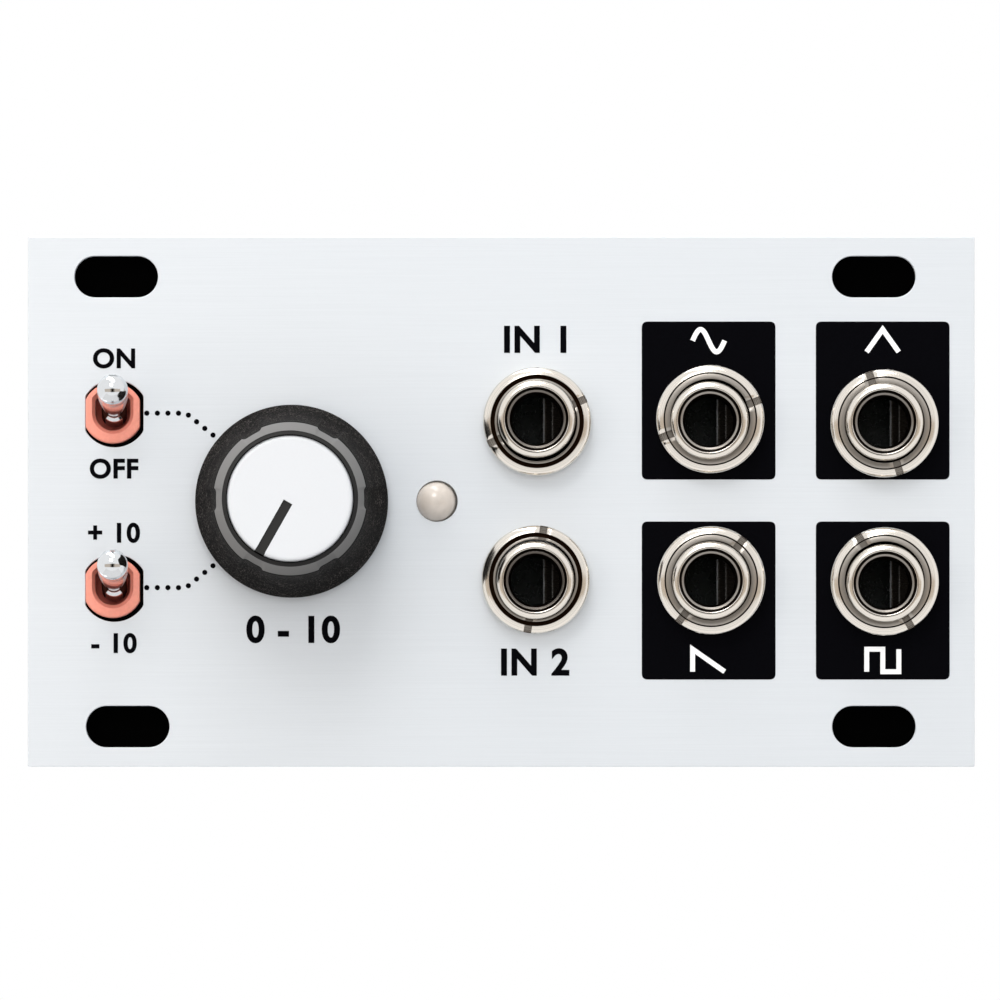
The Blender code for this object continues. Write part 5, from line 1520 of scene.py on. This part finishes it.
# Large soft lamps: name, place from the panel's middle height, size, watts, colour, and whether
# mirrors show it. A key at the upper left, a strip above, a small one at the left, and fills at
# the front, behind and from below.
LAMPS = (
    ("key", (-0.14, -0.68, 0.5), (0.3, 0.3), 1.35, "#FFFDFA", True),
    ("strip", (-0.1, -0.06, 0.6), (0.7, 0.2), 2.0, "#FFFFFF", True),
    ("side", (-0.11, -0.1, 0.03), (0.08, 0.2), 0.07, "#FFF1E2", False),
    ("front", (0, -1.0, 0.06), (0.35, 0.35), 3.4, "#FFFFFF", False),
    ("back", (0.2, 0.8, 0.15), (0.5, 0.5), 3.0, "#FFFFFF", True),
    ("low", (-0.2, 0.45, -0.4), (0.4, 0.4), 1.5, "#FFFFFF", True),
)


def staged(name, mesh, finish, unseen=()):
    """A piece of the stage, which the rays that are named don't see."""
    mesh.materials.append(finish)
    made = bpy.data.objects.new(name, mesh)
    bpy.context.collection.objects.link(made)
    for ray in unseen:
        setattr(made, f"visible_{ray}", False)


def aimed(name, data, place, aim):
    """An object of a lamp or camera at a place, whose -Z points along the aim, with its Y up:
    its turns about X, Y and Z are read off the matrix of its three axes."""
    made = bpy.data.objects.new(name, data)
    bpy.context.collection.objects.link(made)
    made.location = place
    side = np.cross(aim, (0, 0, 1))
    side /= np.linalg.norm(side)
    ahead = aim / np.linalg.norm(aim)
    turn = np.array((side, np.cross(side, ahead), -ahead)).T
    pitch = math.atan2(turn[2, 1], turn[2, 2])
    made.rotation_euler = (pitch, math.asin(-turn[2, 0]), math.atan2(turn[1, 0], turn[0, 0]))
    return made


def studio_world():
    """White where the camera, a mirror or glass looks. For the rest a soft light of level
    0.55 + 0.5 d.l, where d is the way it comes from and l points up and to the front left."""
    world = bpy.data.worlds.new("studio")
    bpy.context.scene.world = world
    world.use_nodes = True
    tree = world.node_tree
    tree.nodes.clear()
    path = add(tree, "LightPath").outputs
    links = {0: path["Is Camera Ray"], 1: path["Is Glossy Ray"]}
    seen = add(tree, "Math", {"operation": "ADD"}, links)
    links = {0: seen.outputs[0], 1: path["Is Transmission Ray"]}
    seen = add(tree, "Math", {"operation": "ADD", "use_clamp": True}, links)
    way = add(tree, "TexCoord").outputs["Generated"]
    towards = {"operation": "DOT_PRODUCT", 1: (-0.15, -0.35, 0.925)}
    share = add(tree, "VectorMath", towards, {0: way}).outputs["Value"]
    glow = add(tree, "MapRange", {1: -1, 2: 1, 3: 0.05, 4: 1.05}, {0: share})
    white = {"Color": (1, 1, 1, 1)}
    soft = add(tree, "Background", white, {"Strength": glow.outputs[0]})
    bright = add(tree, "Background", {**white, "Strength": 1})
    links = {0: seen.outputs[0], 1: soft.outputs[0], 2: bright.outputs[0]}
    mixed = add(tree, "MixShader", (), links)
    add(tree, "OutputWorld", (), {"Surface": mixed.outputs[0]})


def pale_floor():
    """A matt pale floor, seen only from above. Metal mirrors the white world in its place."""
    made, tree, shader = started("pale_floor")
    shader.inputs["Base Color"].default_value = linear("#F4F4F4")
    shader.inputs["Roughness"].default_value = 0.9
    path = add(tree, "LightPath").outputs
    links = {0: path["Is Camera Ray"], 1: path["Is Transmission Ray"]}
    seen = add(tree, "Math", {"operation": "ADD"}, links).outputs[0]
    glow = add(tree, "Math", {"operation": "MULTIPLY", 1: FLOOR_GLOW}, {0: seen})
    shader.inputs["Emission Color"].default_value = (1, 1, 1, 1)
    tree.links.new(glow.outputs[0], shader.inputs["Emission Strength"])
    back = add(tree, "NewGeometry").outputs["Backfacing"]
    clear = add(tree, "BsdfTransparent")
    links = {0: back, 1: shader.outputs[0], 2: clear.outputs[0]}
    mixed = add(tree, "MixShader", (), links)
    tree.links.new(mixed.outputs[0], tree.nodes["Material Output"].inputs["Surface"])
    mesh = bpy.data.meshes.new("floor")
    signs = np.array(((-1, -1), (1, -1), (1, 1), (-1, 1)))
    square = np.column_stack((signs * FLOOR_HALF, np.full(4, FLOOR_LEVEL)))
    mesh.from_pydata(square.tolist(), [], [(0, 1, 2, 3)])
    staged("floor", mesh, made, ("diffuse", "glossy", "shadow"))


def slot_shades():
    """A backdrop of black velvet behind each screw slot, as the photograph has."""
    made, _, shader = started("black_velvet")
    shader.inputs["Base Color"].default_value = linear("#020202")
    shader.inputs["Specular IOR Level"].default_value = 0
    shade = prism(screw_slot(), [(0, depth) for depth in SHADE_LAYER])
    staged("slot_shades", shaped("slot_shades", [copied(shade, slot_places())]), made)


def dark_card():
    """A dark card round the camera, which only mirrors see: the unlit side of the room.
    It is part of a sphere, x = R sin a cos b, y = -R cos a cos b, z = R sin b, where b spans
    less the further a is from the middle. It glows with its own colour, black behind the camera
    and brown towards its sides, and metal shows that glow as a reflection."""
    side = np.radians(np.linspace(-60, 60, 31))[:, None]
    span = np.radians(14) - 0.08 * np.abs(side)
    rise = np.radians(-6) + span * np.linspace(-1, 1, 13)
    level = CARD_AWAY * np.cos(rise)
    height = PANEL_SPOT[1] + CARD_AWAY * np.sin(rise)
    mesh = shaped("dark_card", [woven(level * np.sin(side), -level * np.cos(side), height)])
    made, tree, shader = started("dark_cloth")
    shader.inputs["Base Color"].default_value = linear("#000000")
    shader.inputs["Specular IOR Level"].default_value = 0
    place = add(tree, "TexCoord").outputs["Object"]
    across = add(tree, "SeparateXYZ", (), {0: place}).outputs[0]
    away = add(tree, "Math", {"operation": "ABSOLUTE"}, {0: across})
    share = add(tree, "MapRange", {1: 0.1, 2: 0.42}, {0: away.outputs[0]})
    shades = {"data_type": "RGBA", 6: linear("#1E1713"), 7: linear("#CFC3B6")}
    shade = add(tree, "Mix", shades, {0: share.outputs[0]})
    tree.links.new(shade.outputs[2], shader.inputs["Emission Color"])
    shader.inputs["Emission Strength"].default_value = 1
    staged("dark_card", mesh, made, ("camera", "diffuse", "transmission", "shadow"))


def soft_lamps():
    """The lamps of the plan, each aimed at the middle of the panel."""
    for name, place, sides, power, tint, mirrored in LAMPS:
        lamp = bpy.data.lights.new(name, "AREA")
        lamp.shape = "RECTANGLE"
        lamp.size, lamp.size_y = sides
        lamp.energy = power
        lamp.color = linear(tint)[:3]
        place = np.array(place) + (0, 0, TARGET[2])
        made = aimed(name, lamp, place, TARGET - place)
        made.visible_camera = False
        made.visible_glossy = mirrored


def camera():
    """Almost square to the panel, from a little below its middle."""
    lens = bpy.data.cameras.new("camera")
    lens.sensor_width = SENSOR
    lens.lens = SENSOR * CAMERA_AWAY / FRAME_WIDE
    lens.clip_end = 20
    aim = np.array((0, math.cos(CAMERA_DROP), math.sin(CAMERA_DROP)))
    bpy.context.scene.camera = aimed("camera", lens, AIM - CAMERA_AWAY * aim, aim)


class MODULE_OT_stage(bpy.types.Operator):
    """Sets the pale floor, the soft lamps, the dark card that metal mirrors, and the camera"""

    bl_idname = "module.stage"
    bl_label = "Stage"

    def execute(self, context):
        studio_world()
        pale_floor()
        slot_shades()
        soft_lamps()
        dark_card()
        camera()
        context.scene.view_settings.view_transform = "Standard"
        return {"FINISHED"}


class MODULE_PT_looks(bpy.types.Panel):
    """Lists the makers of the module's pieces and their sizes and colours"""

    bl_label = "Oscillator module"
    bl_space_type = "VIEW_3D"
    bl_region_type = "UI"
    bl_category = "Module"

    def draw(self, context):
        column = self.layout.column()
        for maker in MAKERS:
            column.operator(maker.bl_idname)
        for group in (context.scene.module_sizes, context.scene.module_colours):
            box = self.layout.box()
            for name in group.bl_rna.properties.keys():
                if name not in ("name", "rna_type"):
                    box.prop(group, name)


MAKERS = (
    MODULE_OT_panel,
    MODULE_OT_print,
    MODULE_OT_jacks,
    MODULE_OT_switches,
    MODULE_OT_knob,
    MODULE_OT_potentiometer,
    MODULE_OT_lamp,
    MODULE_OT_boards,
    MODULE_OT_connectors,
    MODULE_OT_board_print,
    MODULE_OT_rear_parts,
    MODULE_OT_stage,
)
CLASSES = (ModuleSizes, ModuleColours, *MAKERS, MODULE_PT_looks)


def register():
    for kind in CLASSES:
        bpy.utils.register_class(kind)
    bpy.types.Scene.module_sizes = bpy.props.PointerProperty(type=ModuleSizes)
    bpy.types.Scene.module_colours = bpy.props.PointerProperty(type=ModuleColours)


def unregister():
    del bpy.types.Scene.module_colours
    del bpy.types.Scene.module_sizes
    for kind in reversed(CLASSES):
        bpy.utils.unregister_class(kind)


def main():
    """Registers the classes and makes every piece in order."""
    register()
    for maker in MAKERS:
        name = maker.bl_idname.split(".")[1]
        if getattr(bpy.ops.module, name)() != {"FINISHED"}:
            raise RuntimeError(f"the maker {name} didn't finish")


if __name__ == "__main__":
    main()
